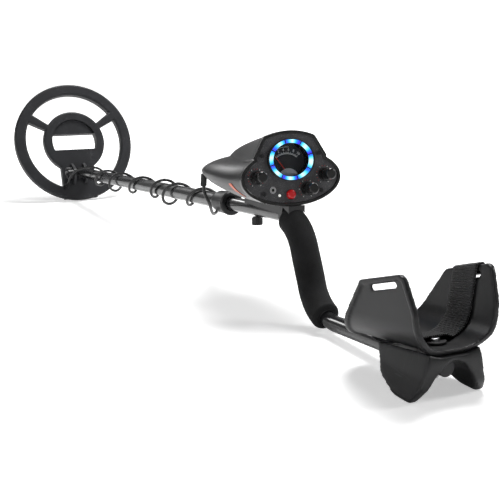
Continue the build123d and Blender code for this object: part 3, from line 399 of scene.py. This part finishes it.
def strap_line(y):
    """The strap's line across the cuff at each y, as x and z: along the floor, round the corner by an arc, up
    the wall, over the rim, down outside and into the slot, a millimetre or so off the cuff's skin."""
    share = (y + 540.0) / -150.0
    half, slant = 46 - 4.5 * share, (8 - 0.5 * share) / 70
    floor_z, top = 31.4 + 17.4 * share, 104 + (-596 - y) * RIM_LEAN + 1.4
    lean = np.arctan(slant)
    corner_x, low, r = half - 4.3, floor_z + 4.3, 30.7
    t = r * np.tan((pi / 2 - lean) / 2)
    x, z = [], []

    def run(x0, z0, x1, z1, count):
        k = np.linspace(0, 1, count)
        x.append(x0[:, None] + (x1 - x0)[:, None] * k)
        z.append(z0[:, None] + (z1 - z0)[:, None] * k)

    run(0 * y - 22, low, corner_x - t, low, 60)
    a = np.linspace(0, 1, 40)[None] * (pi / 2 - lean)[:, None]
    x.append((corner_x - t)[:, None] + r * np.sin(a))
    z.append((low + r)[:, None] - r * np.cos(a))
    inner = corner_x + slant * (top - low)
    outer = half + 3.8 + slant * (top - floor_z + 3)
    run(corner_x + t * np.sin(lean), low + t * np.cos(lean), inner, top - 1, 60)
    run(inner + 1, top, outer - 1, top, 10)
    slot = SLOT_Z - RIM_LEAN * (y - SLOT_Y)
    run(outer, top - 1, half + 3.8 + slant * (slot + 2 - floor_z), slot + 2, 16)
    run(half + 2.5 + slant * (slot - floor_z), slot, half - 3.4 + slant * (slot - floor_z), slot, 8)
    return np.concatenate(x, 1), np.concatenate(z, 1)


def strap_sheet(name):
    """The strap's middle surface, smoothed along its length by a short running mean so that its folds are
    soft, with a slight crown between its edges and slow ripples of a few hundredths of a millimetre."""
    y = STRAP_Y + np.linspace(-STRAP_WIDE / 2, STRAP_WIDE / 2, 21)
    x, z = strap_line(y)
    kernel = np.ones(5) / 5
    for line in (x, z):
        line[:, 2:-2] = np.apply_along_axis(lambda row: np.convolve(row, kernel, "valid"), 1, line)
    bolt_y = (bolt_low[1] + bolt_high[1]) / 2
    apart = np.hypot(x - bolt_low[0] / 2 - bolt_high[0] / 2, (y - bolt_y)[:, None])
    over = np.clip(1 - np.clip(apart - 11.5, 0, None) / 14, 0, 1)
    rise = np.clip(bolt_top + 1.3 - strap_line(y)[1][:, :1], 0, None)
    z = np.where(z < bolt_top + 6, z + rise * over * over * (3 - 2 * over), z)
    side = np.linspace(-1, 1, len(y))[:, None]
    along = np.linspace(0, 1, x.shape[1])[None]
    dx, dz = np.gradient(x, axis=1), np.gradient(z, axis=1)
    size = np.hypot(dx, dz)
    lift = 0.25 * (1 - side ** 2) * np.sin(pi * along)
    lift = lift + 0.15 * np.sin(19 * along + 2 * side) * along * (1 - along)
    x, z = x - lift * dz / size, z + lift * dx / size
    points = np.stack([x, y[:, None] + 0 * x, z], -1).transpose(1, 0, 2) * MM
    run = np.concatenate([[0], np.cumsum(np.linalg.norm(np.diff(points[:, 10], axis=0), axis=1))])
    uv = np.stack([np.tile(y * MM, (len(run), 1)), np.tile(run[:, None], (1, len(y)))], -1)
    return grid_piece(name, points, uv=uv), float(run[-1])


strap_piece, strap_long = strap_sheet("cuff_strap")
skin = strap_piece.modifiers.new("thickness", "SOLIDIFY")
skin.thickness = STRAP_THICK * MM
skin.offset = 0
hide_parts("strap")
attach(strap_piece, "frame")
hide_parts("foam_grip")
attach(foam_piece, "frame")
print("strap length in millimetres", round(strap_long / MM))

# %% [markdown]
# ## Moulded edges
#
# The cuff and its stand are thick mouldings with no sharp edge anywhere. A copy of each solid's skin is
# rebuilt from small voxels, which joins its triangles into an even net, and a few rounds of smoothing then
# melt the edges into soft rounds, as the moulder's tool does.


# %% Soft skins
def soft_skin(name, node, voxel, rounds, factor):
    """A copy of a node's skin, its doubles merged, remeshed by voxels and smoothed."""
    solid = nodes[node]
    piece = placed(name, solid.data.copy())
    weld = piece.modifiers.new("weld", "WELD")
    weld.merge_threshold = 0.02 * MM
    net = piece.modifiers.new("net", "REMESH")
    net.mode = "VOXEL"
    net.voxel_size = voxel * MM
    melt = piece.modifiers.new("melt", "SMOOTH")
    melt.factor = factor
    melt.iterations = rounds
    bpy.context.view_layer.update()
    final = piece.evaluated_get(bpy.context.evaluated_depsgraph_get())
    mesh = bpy.data.meshes.new_from_object(final)
    mesh.name = name
    piece.modifiers.clear()
    piece.data = mesh
    mesh.shade_smooth()
    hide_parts(node)
    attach(piece, "frame")
    print(name, "faces", len(mesh.polygons))
    return piece


stand_skin = soft_skin("stand_skin", "stand", 1.3, 14, 0.5)
cuff_skin = soft_skin("cuff_skin", "arm_cuff", 1.1, 5, 0.5)

# %% [markdown]
# ## The panel's print
#
# The control panel carries small printed marks: a scale with numbers on the meter's dial, and a ring of ticks
# round each knob. Print is thin but it is still geometry here, a few hundredths of a millimetre proud, so it
# stays sharp at any distance. The numbers are plain figures.

# %% Places on the panel
PANEL_TILT, PANEL_Y, PANEL_Z = 8.9, -355.0, 191.0


def on_panel(x, h, out):
    """Points on the panel's plane: x to the right, h up it and out towards the user, as an array of xyz."""
    s, c = sin(radians(PANEL_TILT)), cos(radians(PANEL_TILT))
    x, h, out = np.broadcast_arrays(np.asarray(x, float), h, out)
    return np.stack([x, PANEL_Y + h * s - out * c, PANEL_Z + h * c + out * s], -1) * MM


# %% Ticks and scale
def bars(name, x0, h0, x1, h1, width, out, high=0.06):
    """Thin raised bars on the panel, each a low box from (x0, h0) to (x1, h1): its eight corners are the two
    ends plus and minus half the width across, at two heights."""
    start, end = np.stack([x0, h0], -1), np.stack([x1, h1], -1)
    way = (end - start) / np.linalg.norm(end - start, axis=1)[:, None]
    side = np.stack([-way[:, 1], way[:, 0]], -1) * np.reshape(width, (-1, 1)) / 2
    base = np.stack([start - side, end - side, end + side, start + side], 1)
    flat = np.concatenate([base, base], 1)
    heights = np.tile([out] * 4 + [out + high] * 4, (len(start), 1))
    verts = on_panel(flat[..., 0], flat[..., 1], heights).reshape(-1, 3)
    box = np.array([[3, 2, 1, 0], [4, 5, 6, 7], [0, 1, 5, 4], [1, 2, 6, 5], [2, 3, 7, 6], [3, 0, 4, 7]])
    faces = (box[None] + 8 * np.arange(len(start))[:, None, None]).reshape(-1, 4)
    mesh = bpy.data.meshes.new(name)
    mesh.from_pydata(verts.tolist(), [], faces.tolist())
    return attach(placed(name, mesh), "frame")


DIAL_TOP, NEEDLE_AT = -10.8, (0.0, -15.5)
TICK_R, ARC_R, EDGE_R, FIGURE_R = 23.2, 23.1, 31.4, 28.2
KNOB_MARKS_FROM, KNOB_MARKS_TO = 9.9, 11.3
KNOBS = {"left": (-47.5, -19.0), "right": (45.0, -20.0), "lower": (20.0, -36.0)}


def fan(centre, angles, inner, outer):
    """Starts and ends of radial bars about a centre: (x, h) = centre + r (sin a, cos a)."""
    a = np.radians(angles)
    return (centre[0] + inner * np.sin(a), centre[1] + inner * np.cos(a),
            centre[0] + outer * np.sin(a), centre[1] + outer * np.cos(a))


def arc_of_bars(name, angles, radius, width):
    """A printed arc about the needle's pivot, as short bars from each angle to the next."""
    starts, ends = (fan(NEEDLE_AT, part, radius, radius)[:2] for part in (angles[:-1], angles[1:]))
    return bars(name, *starts, *ends, width, DIAL_TOP)


scale_angles = np.linspace(-37, 37, 31)
tick_ends = TICK_R + np.where(np.arange(31) % 3 == 0, 2.6, 1.5)
scale_ticks = bars("dial_ticks", *fan(NEEDLE_AT, scale_angles, TICK_R, tick_ends), 0.35, DIAL_TOP)
scale_arc = arc_of_bars("dial_arc", np.linspace(-37.5, 37.5, 41), ARC_R, 0.3)
scale_edge = arc_of_bars("dial_edge_line", np.linspace(-40, 8, 31), EDGE_R, 0.35)
white_marks, red_marks = [], []
for knob, centre in KNOBS.items():
    turned = np.linspace(-150, 150, 16)
    starts = fan(centre, turned, KNOB_MARKS_FROM, KNOB_MARKS_TO)
    white = np.arange(16) % 3 == 0
    white_marks.append(bars(f"white_marks_{knob}", *[v[white] for v in starts], 0.55, 0.0))
    red_marks.append(bars(f"red_marks_{knob}", *[v[~white] for v in starts], 0.5, 0.0))
print("marks", len(white_marks) + len(red_marks), "scale ticks", len(scale_angles))


# %% Figures
def figure(text, x, h, size, out, turn=0.0):
    """A printed figure: its outlines are made a mesh, then each corner (a, b) is moved on the panel to
    x + a cos t + b sin t and h - a sin t + b cos t."""
    curve = bpy.data.curves.new("figure", "FONT")
    curve.body = text
    curve.size = size
    curve.align_x, curve.align_y = "CENTER", "CENTER"
    curve.extrude = 0.03
    curve.resolution_u = 3
    guide = placed("figure_guide", curve)
    mesh = bpy.data.meshes.new_from_object(guide)
    bpy.data.objects.remove(guide)
    flat = np.zeros(len(mesh.vertices) * 3)
    mesh.vertices.foreach_get("co", flat)
    a, b, lift = flat.reshape(-1, 3).T
    t = radians(turn)
    place = on_panel(x + a * cos(t) + b * sin(t), h - a * sin(t) + b * cos(t), out + 0.03 + lift)
    mesh.vertices.foreach_set("co", place.astype(np.float32).ravel())
    mesh.update()
    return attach(placed(f"dial_figure_{text}", mesh), "frame")


figures = []
for number, text in enumerate(("0", "2", "4", "6", "8", "10")):
    lean = -36 + 14.4 * number
    x, h = NEEDLE_AT[0] + FIGURE_R * sin(radians(lean)), NEEDLE_AT[1] + FIGURE_R * cos(radians(lean))
    figures.append(figure(text, x, h, 4.6, DIAL_TOP, lean))
print("figures", len(figures))

# %% [markdown]
# ## Finishes
#
# Most of the detector is black, so its finishes differ in gloss and in grain rather than in colour: painted
# tube is smooth with a slight orange peel, moulded plastic is stippled, foam is full of cells, webbing is
# hooked. The effects that several finishes share are node groups, built once: a moulded grain, fine
# scratches, and dust on faces that look up.

# %% Helpers for materials and node groups
def new_material(name):
    """A new material, its node tree and its Principled shader."""
    material = bpy.data.materials.new(name)
    material.use_nodes = True
    return material, material.node_tree, material.node_tree.nodes["Principled BSDF"]


def new_group(name, inputs, outputs):
    """An empty shader group with named sockets; floats take a default, colours are marked by a tuple."""
    group = bpy.data.node_groups.new(name, "ShaderNodeTree")
    for label, value in inputs.items():
        kind = "NodeSocketColor" if isinstance(value, tuple) else "NodeSocketFloat"
        socket = group.interface.new_socket(label, in_out="INPUT", socket_type=kind)
        socket.default_value = value
    for label, kind in outputs.items():
        group.interface.new_socket(label, in_out="OUTPUT", socket_type=kind)
    return group, group.nodes.new("NodeGroupInput"), group.nodes.new("NodeGroupOutput")


def add_node(tree, kind, **values):
    """A node with its properties set; names that start with in_ set an input socket by its number."""
    node = tree.nodes.new(kind)
    for key, value in values.items():
        if key.startswith("in_"):
            node.inputs[int(key[3:])].default_value = value
        else:
            setattr(node, key, value)
    return node


def noise(tree, place, scale, detail=2.0, roughness=0.5, stretch=None):
    """A noise texture at a place in metres; stretch squeezes the space along each axis first."""
    if stretch:
        mapping = add_node(tree, "ShaderNodeMapping")
        mapping.inputs["Scale"].default_value = stretch
        tree.links.new(place, mapping.inputs["Vector"])
        place = mapping.outputs["Vector"]
    node = add_node(tree, "ShaderNodeTexNoise")
    node.inputs["Detail"].default_value = detail
    node.inputs["Roughness"].default_value = roughness
    tree.links.new(place, node.inputs["Vector"])
    if isinstance(scale, (int, float)):
        node.inputs["Scale"].default_value = scale
    else:
        tree.links.new(scale, node.inputs["Scale"])
    return node


def maths(tree, operation, a, b=None, clamp=False):
    """One arithmetic node fed by sockets or numbers."""
    node = add_node(tree, "ShaderNodeMath", operation=operation, use_clamp=clamp)
    for number, value in enumerate(v for v in (a, b) if v is not None):
        if isinstance(value, (int, float)):
            node.inputs[number].default_value = value
        else:
            tree.links.new(value, node.inputs[number])
    return node.outputs[0]


def span(tree, value, low, high, to_low=0.0, to_high=1.0):
    """Maps a range of values to another, clamped."""
    node = add_node(tree, "ShaderNodeMapRange")
    tree.links.new(value, node.inputs["Value"])
    for label, number in (("From Min", low), ("From Max", high), ("To Min", to_low), ("To Max", to_high)):
        if isinstance(number, (int, float)):
            node.inputs[label].default_value = number
        else:
            tree.links.new(number, node.inputs[label])
    return node.outputs["Result"]


def blend_colour(tree, share, a, b, mode="MIX"):
    """Two colours mixed by a share, each a socket or a tuple."""
    node = add_node(tree, "ShaderNodeMix", data_type="RGBA", blend_type=mode)
    for label, value in ((0, share), (6, a), (7, b)):
        if isinstance(value, (int, float, tuple)):
            node.inputs[label].default_value = value
        else:
            tree.links.new(value, node.inputs[label])
    return node.outputs[2]


# %% Moulded grain
def build_grain():
    """Grain: height is a fine noise plus a coarser one; colour varies by a slow mottle; roughness by both."""
    group, inward, outward = new_group(
        "moulded grain", {"Color": (0.05, 0.05, 0.05, 1), "Scale": 900.0, "Mottle": 0.25, "Roughness": 0.5,
                          "Roughness Spread": 0.12},
        {"Color": "NodeSocketColor", "Roughness": "NodeSocketFloat", "Height": "NodeSocketFloat"})
    place = add_node(group, "ShaderNodeTexCoord").outputs["Object"]
    fine = noise(group, place, inward.outputs["Scale"], 3, 0.6)
    slow = noise(group, place, 34.0, 4, 0.55)
    dark = blend_colour(group, inward.outputs["Mottle"], inward.outputs["Color"], (0, 0, 0, 1))
    light = blend_colour(group, maths(group, "MULTIPLY", inward.outputs["Mottle"], 0.03),
                         inward.outputs["Color"], (0.6, 0.62, 0.66, 1))
    both = maths(group, "ADD", maths(group, "MULTIPLY", slow.outputs["Fac"], 0.65),
                 maths(group, "MULTIPLY", fine.outputs["Fac"], 0.35))
    colour = blend_colour(group, span(group, both, 0.36, 0.64), dark, light)
    spread = maths(group, "MULTIPLY", inward.outputs["Roughness Spread"],
                   maths(group, "SUBTRACT", both, 0.5))
    rough = maths(group, "ADD", inward.outputs["Roughness"], spread, clamp=True)
    group.links.new(colour, outward.inputs["Color"])
    group.links.new(rough, outward.inputs["Roughness"])
    group.links.new(fine.outputs["Fac"], outward.inputs["Height"])
    return group


# %% Scratches and dust
def build_scratches():
    """Fine scratches: thin bands where stretched noise crosses its middle, kept only inside slow patches."""
    group, inward, outward = new_group("fine scratches", {"Amount": 0.3}, {"Mask": "NodeSocketFloat"})
    place = add_node(group, "ShaderNodeTexCoord").outputs["Object"]
    first = noise(group, place, 90.0, 2, 0.5, (1.0, 0.12, 0.5))
    second = noise(group, place, 70.0, 2, 0.5, (0.3, 1.0, 0.15))
    lines = maths(group, "MINIMUM",
                  maths(group, "ABSOLUTE", maths(group, "SUBTRACT", first.outputs["Fac"], 0.5)),
                  maths(group, "ABSOLUTE", maths(group, "SUBTRACT", second.outputs["Fac"], 0.5)))
    thin = span(group, lines, 0.0, 0.006, 1.0, 0.0)
    patch = span(group, noise(group, place, 22.0, 3).outputs["Fac"], 0.5, 0.68)
    mask = maths(group, "MULTIPLY", maths(group, "MULTIPLY", thin, patch), inward.outputs["Amount"])
    group.links.new(mask, outward.inputs["Mask"])
    return group


def build_dust():
    """Dust lies where a face looks up: the normal's z, broken up by noise."""
    group, inward, outward = new_group("dust", {"Amount": 0.2}, {"Mask": "NodeSocketFloat"})
    place = add_node(group, "ShaderNodeTexCoord").outputs["Object"]
    normal = add_node(group, "ShaderNodeNewGeometry").outputs["Normal"]
    split = add_node(group, "ShaderNodeSeparateXYZ")
    group.links.new(normal, split.inputs[0])
    up = span(group, split.outputs["Z"], 0.25, 1.0)
    specks = span(group, noise(group, place, 420.0, 4, 0.7).outputs["Fac"], 0.5, 0.75)
    film = span(group, noise(group, place, 16.0, 3).outputs["Fac"], 0.35, 0.75)
    both = maths(group, "ADD", maths(group, "MULTIPLY", specks, 0.6), maths(group, "MULTIPLY", film, 0.4))
    mask = maths(group, "MULTIPLY", maths(group, "MULTIPLY", both, up),
                 maths(group, "MULTIPLY", inward.outputs["Amount"], 0.3))
    group.links.new(mask, outward.inputs["Mask"])
    return group


GRAIN, SCRATCHES, DUST = build_grain(), build_scratches(), build_dust()
print("node groups", [g.name for g in (GRAIN, SCRATCHES, DUST)])


# %% [markdown]
# A finish is a Principled shader fed by those groups. The things that stay the same all over a piece, such as
# how metallic it is or its clear coat, are set on the shader itself.

# %% A moulded or painted finish
def finish_of(name, colour, rough, grain=900.0, depth=0.02, mottle=0.25, spread=0.12, scratched=0.3,
              dusty=0.15, metallic=0.0, coat=0.0, coat_rough=0.05, sheen=0.0, specular=0.5):
    """One material: grain for colour, roughness and bump, then dust and scratches over it."""
    material, tree, shader = new_material(name)
    body = add_node(tree, "ShaderNodeGroup", node_tree=GRAIN)
    for label, value in (("Color", (*colour, 1)), ("Scale", grain), ("Mottle", mottle), ("Roughness", rough),
                         ("Roughness Spread", spread)):
        body.inputs[label].default_value = value
    dust = add_node(tree, "ShaderNodeGroup", node_tree=DUST)
    dust.inputs["Amount"].default_value = dusty
    marks = add_node(tree, "ShaderNodeGroup", node_tree=SCRATCHES)
    marks.inputs["Amount"].default_value = scratched
    dusted = blend_colour(tree, dust.outputs["Mask"], body.outputs["Color"], (0.42, 0.40, 0.37, 1))
    scratch_colour = tuple(min(1, 2.2 * c + 0.06) for c in colour) + (1,)
    scored = blend_colour(tree, marks.outputs["Mask"], dusted, scratch_colour)
    worn = maths(tree, "ADD", dust.outputs["Mask"], marks.outputs["Mask"])
    roughened = maths(tree, "ADD", body.outputs["Roughness"], maths(tree, "MULTIPLY", worn, 0.5), clamp=True)
    bump = add_node(tree, "ShaderNodeBump")
    bump.inputs["Strength"].default_value = 1.0
    bump.inputs["Distance"].default_value = depth * MM
    tree.links.new(body.outputs["Height"], bump.inputs["Height"])
    tree.links.new(scored, shader.inputs["Base Color"])
    tree.links.new(roughened, shader.inputs["Roughness"])
    tree.links.new(bump.outputs["Normal"], shader.inputs["Normal"])
    shader.inputs["Metallic"].default_value = metallic
    shader.inputs["Coat Weight"].default_value = coat
    shader.inputs["Coat Roughness"].default_value = coat_rough
    shader.inputs["Sheen Weight"].default_value = sheen
    shader.inputs["Specular IOR Level"].default_value = specular
    return material


rod_black = finish_of("rod_black", (0.010, 0.010, 0.011), 0.22, grain=260, depth=0.012, mottle=0.2, coat=0.6,
                      dusty=0.10, scratched=0.5)
foam_black = finish_of("foam", (0.0065, 0.0065, 0.007), 0.86, grain=1150, depth=0.35, mottle=0.5, spread=0.2,
                       scratched=0.0, dusty=0.06, sheen=0.06, specular=0.25)
cuff_plastic = finish_of("cuff_plastic", (0.010, 0.010, 0.011), 0.36, grain=1100, depth=0.08, mottle=0.22,
                         scratched=0.35, dusty=0.10, specular=0.42)
coil_plastic = finish_of("coil_plastic", (0.013, 0.0135, 0.016), 0.46, grain=1300, depth=0.05, mottle=0.2,
                         scratched=0.4, dusty=0.1, specular=0.4)
fixings_black = finish_of("fixings_black", (0.011, 0.011, 0.012), 0.38, grain=900, depth=0.03, scratched=0.5)
steel = finish_of("steel", (0.55, 0.55, 0.56), 0.3, grain=500, depth=0.01, mottle=0.15, metallic=1.0)
chrome = finish_of("chrome", (0.86, 0.86, 0.87), 0.1, grain=200, depth=0.003, mottle=0.05, metallic=1.0)
rubber = finish_of("rubber", (0.013, 0.013, 0.013), 0.7, grain=1000, depth=0.05)
copper_winding = finish_of("copper_winding", (0.62, 0.25, 0.12), 0.35, grain=700, depth=0.1, metallic=1.0)
cable_jacket = finish_of("cable_jacket", (0.010, 0.010, 0.010), 0.34, grain=600, depth=0.03, mottle=0.3,
                         dusty=0.2)
housing_plastic = finish_of("housing_plastic", (0.012, 0.012, 0.013), 0.33, grain=1000, depth=0.025,
                            mottle=0.25, scratched=0.3, dusty=0.12, coat=0.2, coat_rough=0.2)
rim_black = finish_of("rim_black", (0.006, 0.006, 0.006), 0.16, grain=500, depth=0.006, mottle=0.2, coat=0.8,
                      scratched=0.2, dusty=0.06)
needle_red = finish_of("needle_red", (0.72, 0.03, 0.02), 0.4, mottle=0.15)
hub_grey = finish_of("hub_grey", (0.40, 0.39, 0.40), 0.45, grain=1500, depth=0.02, mottle=0.12, scratched=0.1)
button_red = finish_of("button_red", (0.70, 0.008, 0.012), 0.2, grain=400, depth=0.01, mottle=0.12, coat=0.7,
                       scratched=0.2, dusty=0.03)
orange_gloss = finish_of("orange", (0.85, 0.12, 0.02), 0.3, grain=900, depth=0.01, mottle=0.12, coat=0.3)
board_green = finish_of("board_green", (0.02, 0.16, 0.06), 0.45, grain=300, depth=0.02)
battery_label = finish_of("battery_label", (0.04, 0.04, 0.05), 0.3, coat=0.4)
dial_black = finish_of("dial_print", (0.018, 0.018, 0.019), 0.5, grain=1500, depth=0.01, mottle=0.3,
                       scratched=0.0, dusty=0.02)
print_white = finish_of("print_white", (0.95, 0.95, 0.93), 0.6, grain=2500, depth=0.01, mottle=0.12,
                        dusty=0.0, scratched=0.1)
print_red = finish_of("print_red", (0.62, 0.05, 0.04), 0.6, grain=2500, depth=0.01, mottle=0.15, dusty=0.0,
                      scratched=0.1)


# %% Speckled panel
def panel_finish():
    """The panel's grey paint: a middle grey with light and dark flecks, each under a millimetre across."""
    material = finish_of("panel_grey", (0.060, 0.060, 0.064), 0.42, grain=1500, depth=0.02, mottle=0.35,
                         scratched=0.25, dusty=0.05)
    tree = material.node_tree
    shader = tree.nodes["Principled BSDF"]
    base = shader.inputs["Base Color"].links[0].from_socket
    place = add_node(tree, "ShaderNodeTexCoord").outputs["Object"]
    light = span(tree, noise(tree, place, 1300.0, 1, 0.4).outputs["Fac"], 0.62, 0.72)
    dark = span(tree, noise(tree, place, 1000.0, 1, 0.4, (1.0, 1.0, 1.3)).outputs["Fac"], 0.6, 0.7)
    flecked = blend_colour(tree, maths(tree, "MULTIPLY", light, 0.55), base, (0.30, 0.30, 0.31, 1))
    flecked = blend_colour(tree, maths(tree, "MULTIPLY", dark, 0.6), flecked, (0.012, 0.012, 0.014, 1))
    tree.links.new(flecked, shader.inputs["Base Color"])
    return material


panel_grey = panel_finish()


# %% Light ring
def glow_finish():
    """Light through a milky ring: colour follows the angle about the meter's middle, white-cyan at the middle
    of each segment and blue to violet at its ends."""
    material, tree, shader = new_material("led_glow")
    place = add_node(tree, "ShaderNodeTexCoord").outputs["Object"]
    turn = add_node(tree, "ShaderNodeMapping", vector_type="TEXTURE")
    turn.inputs["Location"].default_value = (0, PANEL_Y * MM, PANEL_Z * MM)
    turn.inputs["Rotation"].default_value = (radians(90 - PANEL_TILT), 0, 0)
    tree.links.new(place, turn.inputs["Vector"])
    sweep = add_node(tree, "ShaderNodeTexGradient", gradient_type="RADIAL")
    tree.links.new(turn.outputs["Vector"], sweep.inputs["Vector"])
    segments = maths(tree, "MULTIPLY", sweep.outputs["Fac"], 8.0)
    eighth = maths(tree, "FRACT", maths(tree, "ADD", segments, 8.678))
    centred = maths(tree, "ABSOLUTE", maths(tree, "SUBTRACT", eighth, 0.5))
    wobble = noise(tree, place, 60.0, 2).outputs["Fac"]
    share = maths(tree, "ADD", centred, maths(tree, "MULTIPLY", maths(tree, "SUBTRACT", wobble, 0.5), 0.35))
    ramp = add_node(tree, "ShaderNodeValToRGB")
    ramp.color_ramp.elements[0].position = 0.02
    ramp.color_ramp.elements[0].color = (0.62, 0.96, 1.0, 1)
    ramp.color_ramp.elements[1].position = 0.5
    ramp.color_ramp.elements[1].color = (0.05, 0.03, 0.75, 1)
    middle = ramp.color_ramp.elements.new(0.24)
    middle.color = (0.06, 0.60, 0.95, 1)
    outer = ramp.color_ramp.elements.new(0.38)
    outer.color = (0.02, 0.20, 0.90, 1)
    tree.links.new(share, ramp.inputs["Fac"])
    tree.links.new(ramp.outputs["Color"], shader.inputs["Emission Color"])
    tree.links.new(ramp.outputs["Color"], shader.inputs["Base Color"])
    shader.inputs["Emission Strength"].default_value = 1.0
    shader.inputs["Roughness"].default_value = 0.25
    return material


led_glow = glow_finish()


# %% Lamp and lens
def plain_glow(name, colour, strength):
    """A small lit dome: its colour with a faint noise, and emission of the same colour."""
    material, tree, shader = new_material(name)
    place = add_node(tree, "ShaderNodeTexCoord").outputs["Object"]
    shade = noise(tree, place, 900.0, 2).outputs["Fac"]
    tint = blend_colour(tree, shade, tuple(0.85 * c for c in colour) + (1,), (*colour, 1))
    tree.links.new(tint, shader.inputs["Base Color"])
    tree.links.new(tint, shader.inputs["Emission Color"])
    shader.inputs["Emission Strength"].default_value = strength
    return material


def lens_finish():
    """Clear acrylic: fully transmissive, with faint smears in its roughness."""
    material, tree, shader = new_material("lens_clear")
    place = add_node(tree, "ShaderNodeTexCoord").outputs["Object"]
    smear = span(tree, noise(tree, place, 55.0, 4).outputs["Fac"], 0.4, 0.8, 0.0, 0.06)
    tree.links.new(smear, shader.inputs["Roughness"])
    cloud = noise(tree, place, 40.0, 2).outputs["Fac"]
    tint = blend_colour(tree, cloud, (0.94, 0.95, 0.97, 1), (1, 1, 1, 1))
    tree.links.new(tint, shader.inputs["Base Color"])
    shader.inputs["Transmission Weight"].default_value = 1.0
    shader.inputs["IOR"].default_value = 1.12
    return material


lamp_white = plain_glow("lamp_white", (0.9, 0.9, 0.86), 0.6)
lens_clear = lens_finish()


# %% Webbing
def webbing_finish():
    """Hook webbing on the strap's own lay: ribs across it 2.4 mm apart, hooks as a rough noise on them, and a
    smoother edge about 2 mm wide on each side."""
    material = finish_of("webbing", (0.012, 0.012, 0.013), 0.8, grain=1400, depth=0.3, mottle=0.6, spread=0.2,
                         scratched=0.0, dusty=0.12, sheen=0.25, specular=0.3)
    tree = material.node_tree
    shader = tree.nodes["Principled BSDF"]
    base = shader.inputs["Base Color"].links[0].from_socket
    lay = add_node(tree, "ShaderNodeUVMap").outputs["UV"]
    split = add_node(tree, "ShaderNodeSeparateXYZ")
    tree.links.new(lay, split.inputs[0])
    ribs = maths(tree, "SINE", maths(tree, "MULTIPLY", split.outputs["Y"], 2 * pi / 0.0024))
    warp = maths(tree, "SINE", maths(tree, "MULTIPLY", split.outputs["X"], 2 * pi / 0.0009))
    weave = maths(tree, "MULTIPLY", ribs, warp)
    hooks = noise(tree, lay, 1500.0, 3, 0.7).outputs["Fac"]
    middle = maths(tree, "ABSOLUTE", maths(tree, "ADD", split.outputs["X"], -STRAP_Y * MM))
    edge = span(tree, middle, 0.0155, 0.0162)
    grooves = maths(tree, "ADD", ribs, maths(tree, "MULTIPLY", weave, 0.25))
    height = maths(tree, "ADD", grooves, maths(tree, "MULTIPLY", hooks, maths(tree, "SUBTRACT", 1.6, edge)))
    bump = add_node(tree, "ShaderNodeBump")
    bump.inputs["Distance"].default_value = 0.45 * MM
    tree.links.new(height, bump.inputs["Height"])
    tree.links.new(bump.outputs["Normal"], shader.inputs["Normal"])
    fuzz = maths(tree, "MULTIPLY", span(tree, maths(tree, "ADD", hooks, maths(tree, "MULTIPLY", ribs, 0.08)),
                                        0.5, 0.7), 0.4)
    tree.links.new(blend_colour(tree, fuzz, base, (0.085, 0.085, 0.09, 1)), shader.inputs["Base Color"])
    return material


webbing = webbing_finish()

# %% Put the finishes on
finishes = {m.name: m for m in (
    rod_black, foam_black, cuff_plastic, coil_plastic, fixings_black, steel, chrome, rubber, copper_winding,
    cable_jacket, housing_plastic, rim_black, needle_red, hub_grey, button_red, orange_gloss, board_green,
    battery_label, dial_black, panel_grey, led_glow, lamp_white, lens_clear, webbing)}


def wear(piece, material):
    """Puts one finish on a piece, in every material slot it has."""
    if not piece.data.materials:
        piece.data.materials.append(material)
    for number in range(len(piece.material_slots)):
        piece.material_slots[number].material = material


for part in frame["record"]["subparts"]:
    wear(nodes[part["node"]], finishes[part["material_slot"]])
wear(nodes["panel_screws"], fixings_black)
for cable in (coil_cable, rod_cable, box_cable):
    wear(cable, cable_jacket)
wear(stand_skin, cuff_plastic)
wear(cuff_skin, cuff_plastic)
wear(foam_piece, foam_black)
wear(strap_piece, webbing)
for piece in [scale_ticks, scale_arc, scale_edge, *white_marks, *figures]:
    wear(piece, print_white)
for piece in red_marks:
    wear(piece, print_red)
print("finishes", len(finishes) + 2)


# %% [markdown]
# The floor is plain and pale. To the camera it glows: half as much near the detector, where soft shadows
# should still show, as far from it, where it has to meet the bright surroundings without a line.

# %% Floor finish
def floor_finish():
    """Pale matt paint mixed, with distance from the middle, into a soft glow of the same white."""
    material, tree, shader = new_material("studio_floor")
    shader.inputs["Base Color"].default_value = (0.9, 0.9, 0.9, 1)
    shader.inputs["Roughness"].default_value = 0.85
    shader.inputs["Specular IOR Level"].default_value = 0.1
    place = add_node(tree, "ShaderNodeTexCoord").outputs["Object"]
    reach = add_node(tree, "ShaderNodeVectorMath", operation="LENGTH")
    tree.links.new(place, reach.inputs[0])
    far = span(tree, reach.outputs["Value"], 0.8, 2.0, 0.0, 1.0)
    glow = blend_colour(tree, far, (0.45, 0.45, 0.45, 1), (1.0, 1.0, 1.0, 1))
    seen = add_node(tree, "ShaderNodeLightPath").outputs["Is Camera Ray"]
    tree.links.new(blend_colour(tree, seen, (0.02, 0.02, 0.02, 1), glow), shader.inputs["Emission Color"])
    shader.inputs["Emission Strength"].default_value = 1.0
    return material


wear(floor, floor_finish())
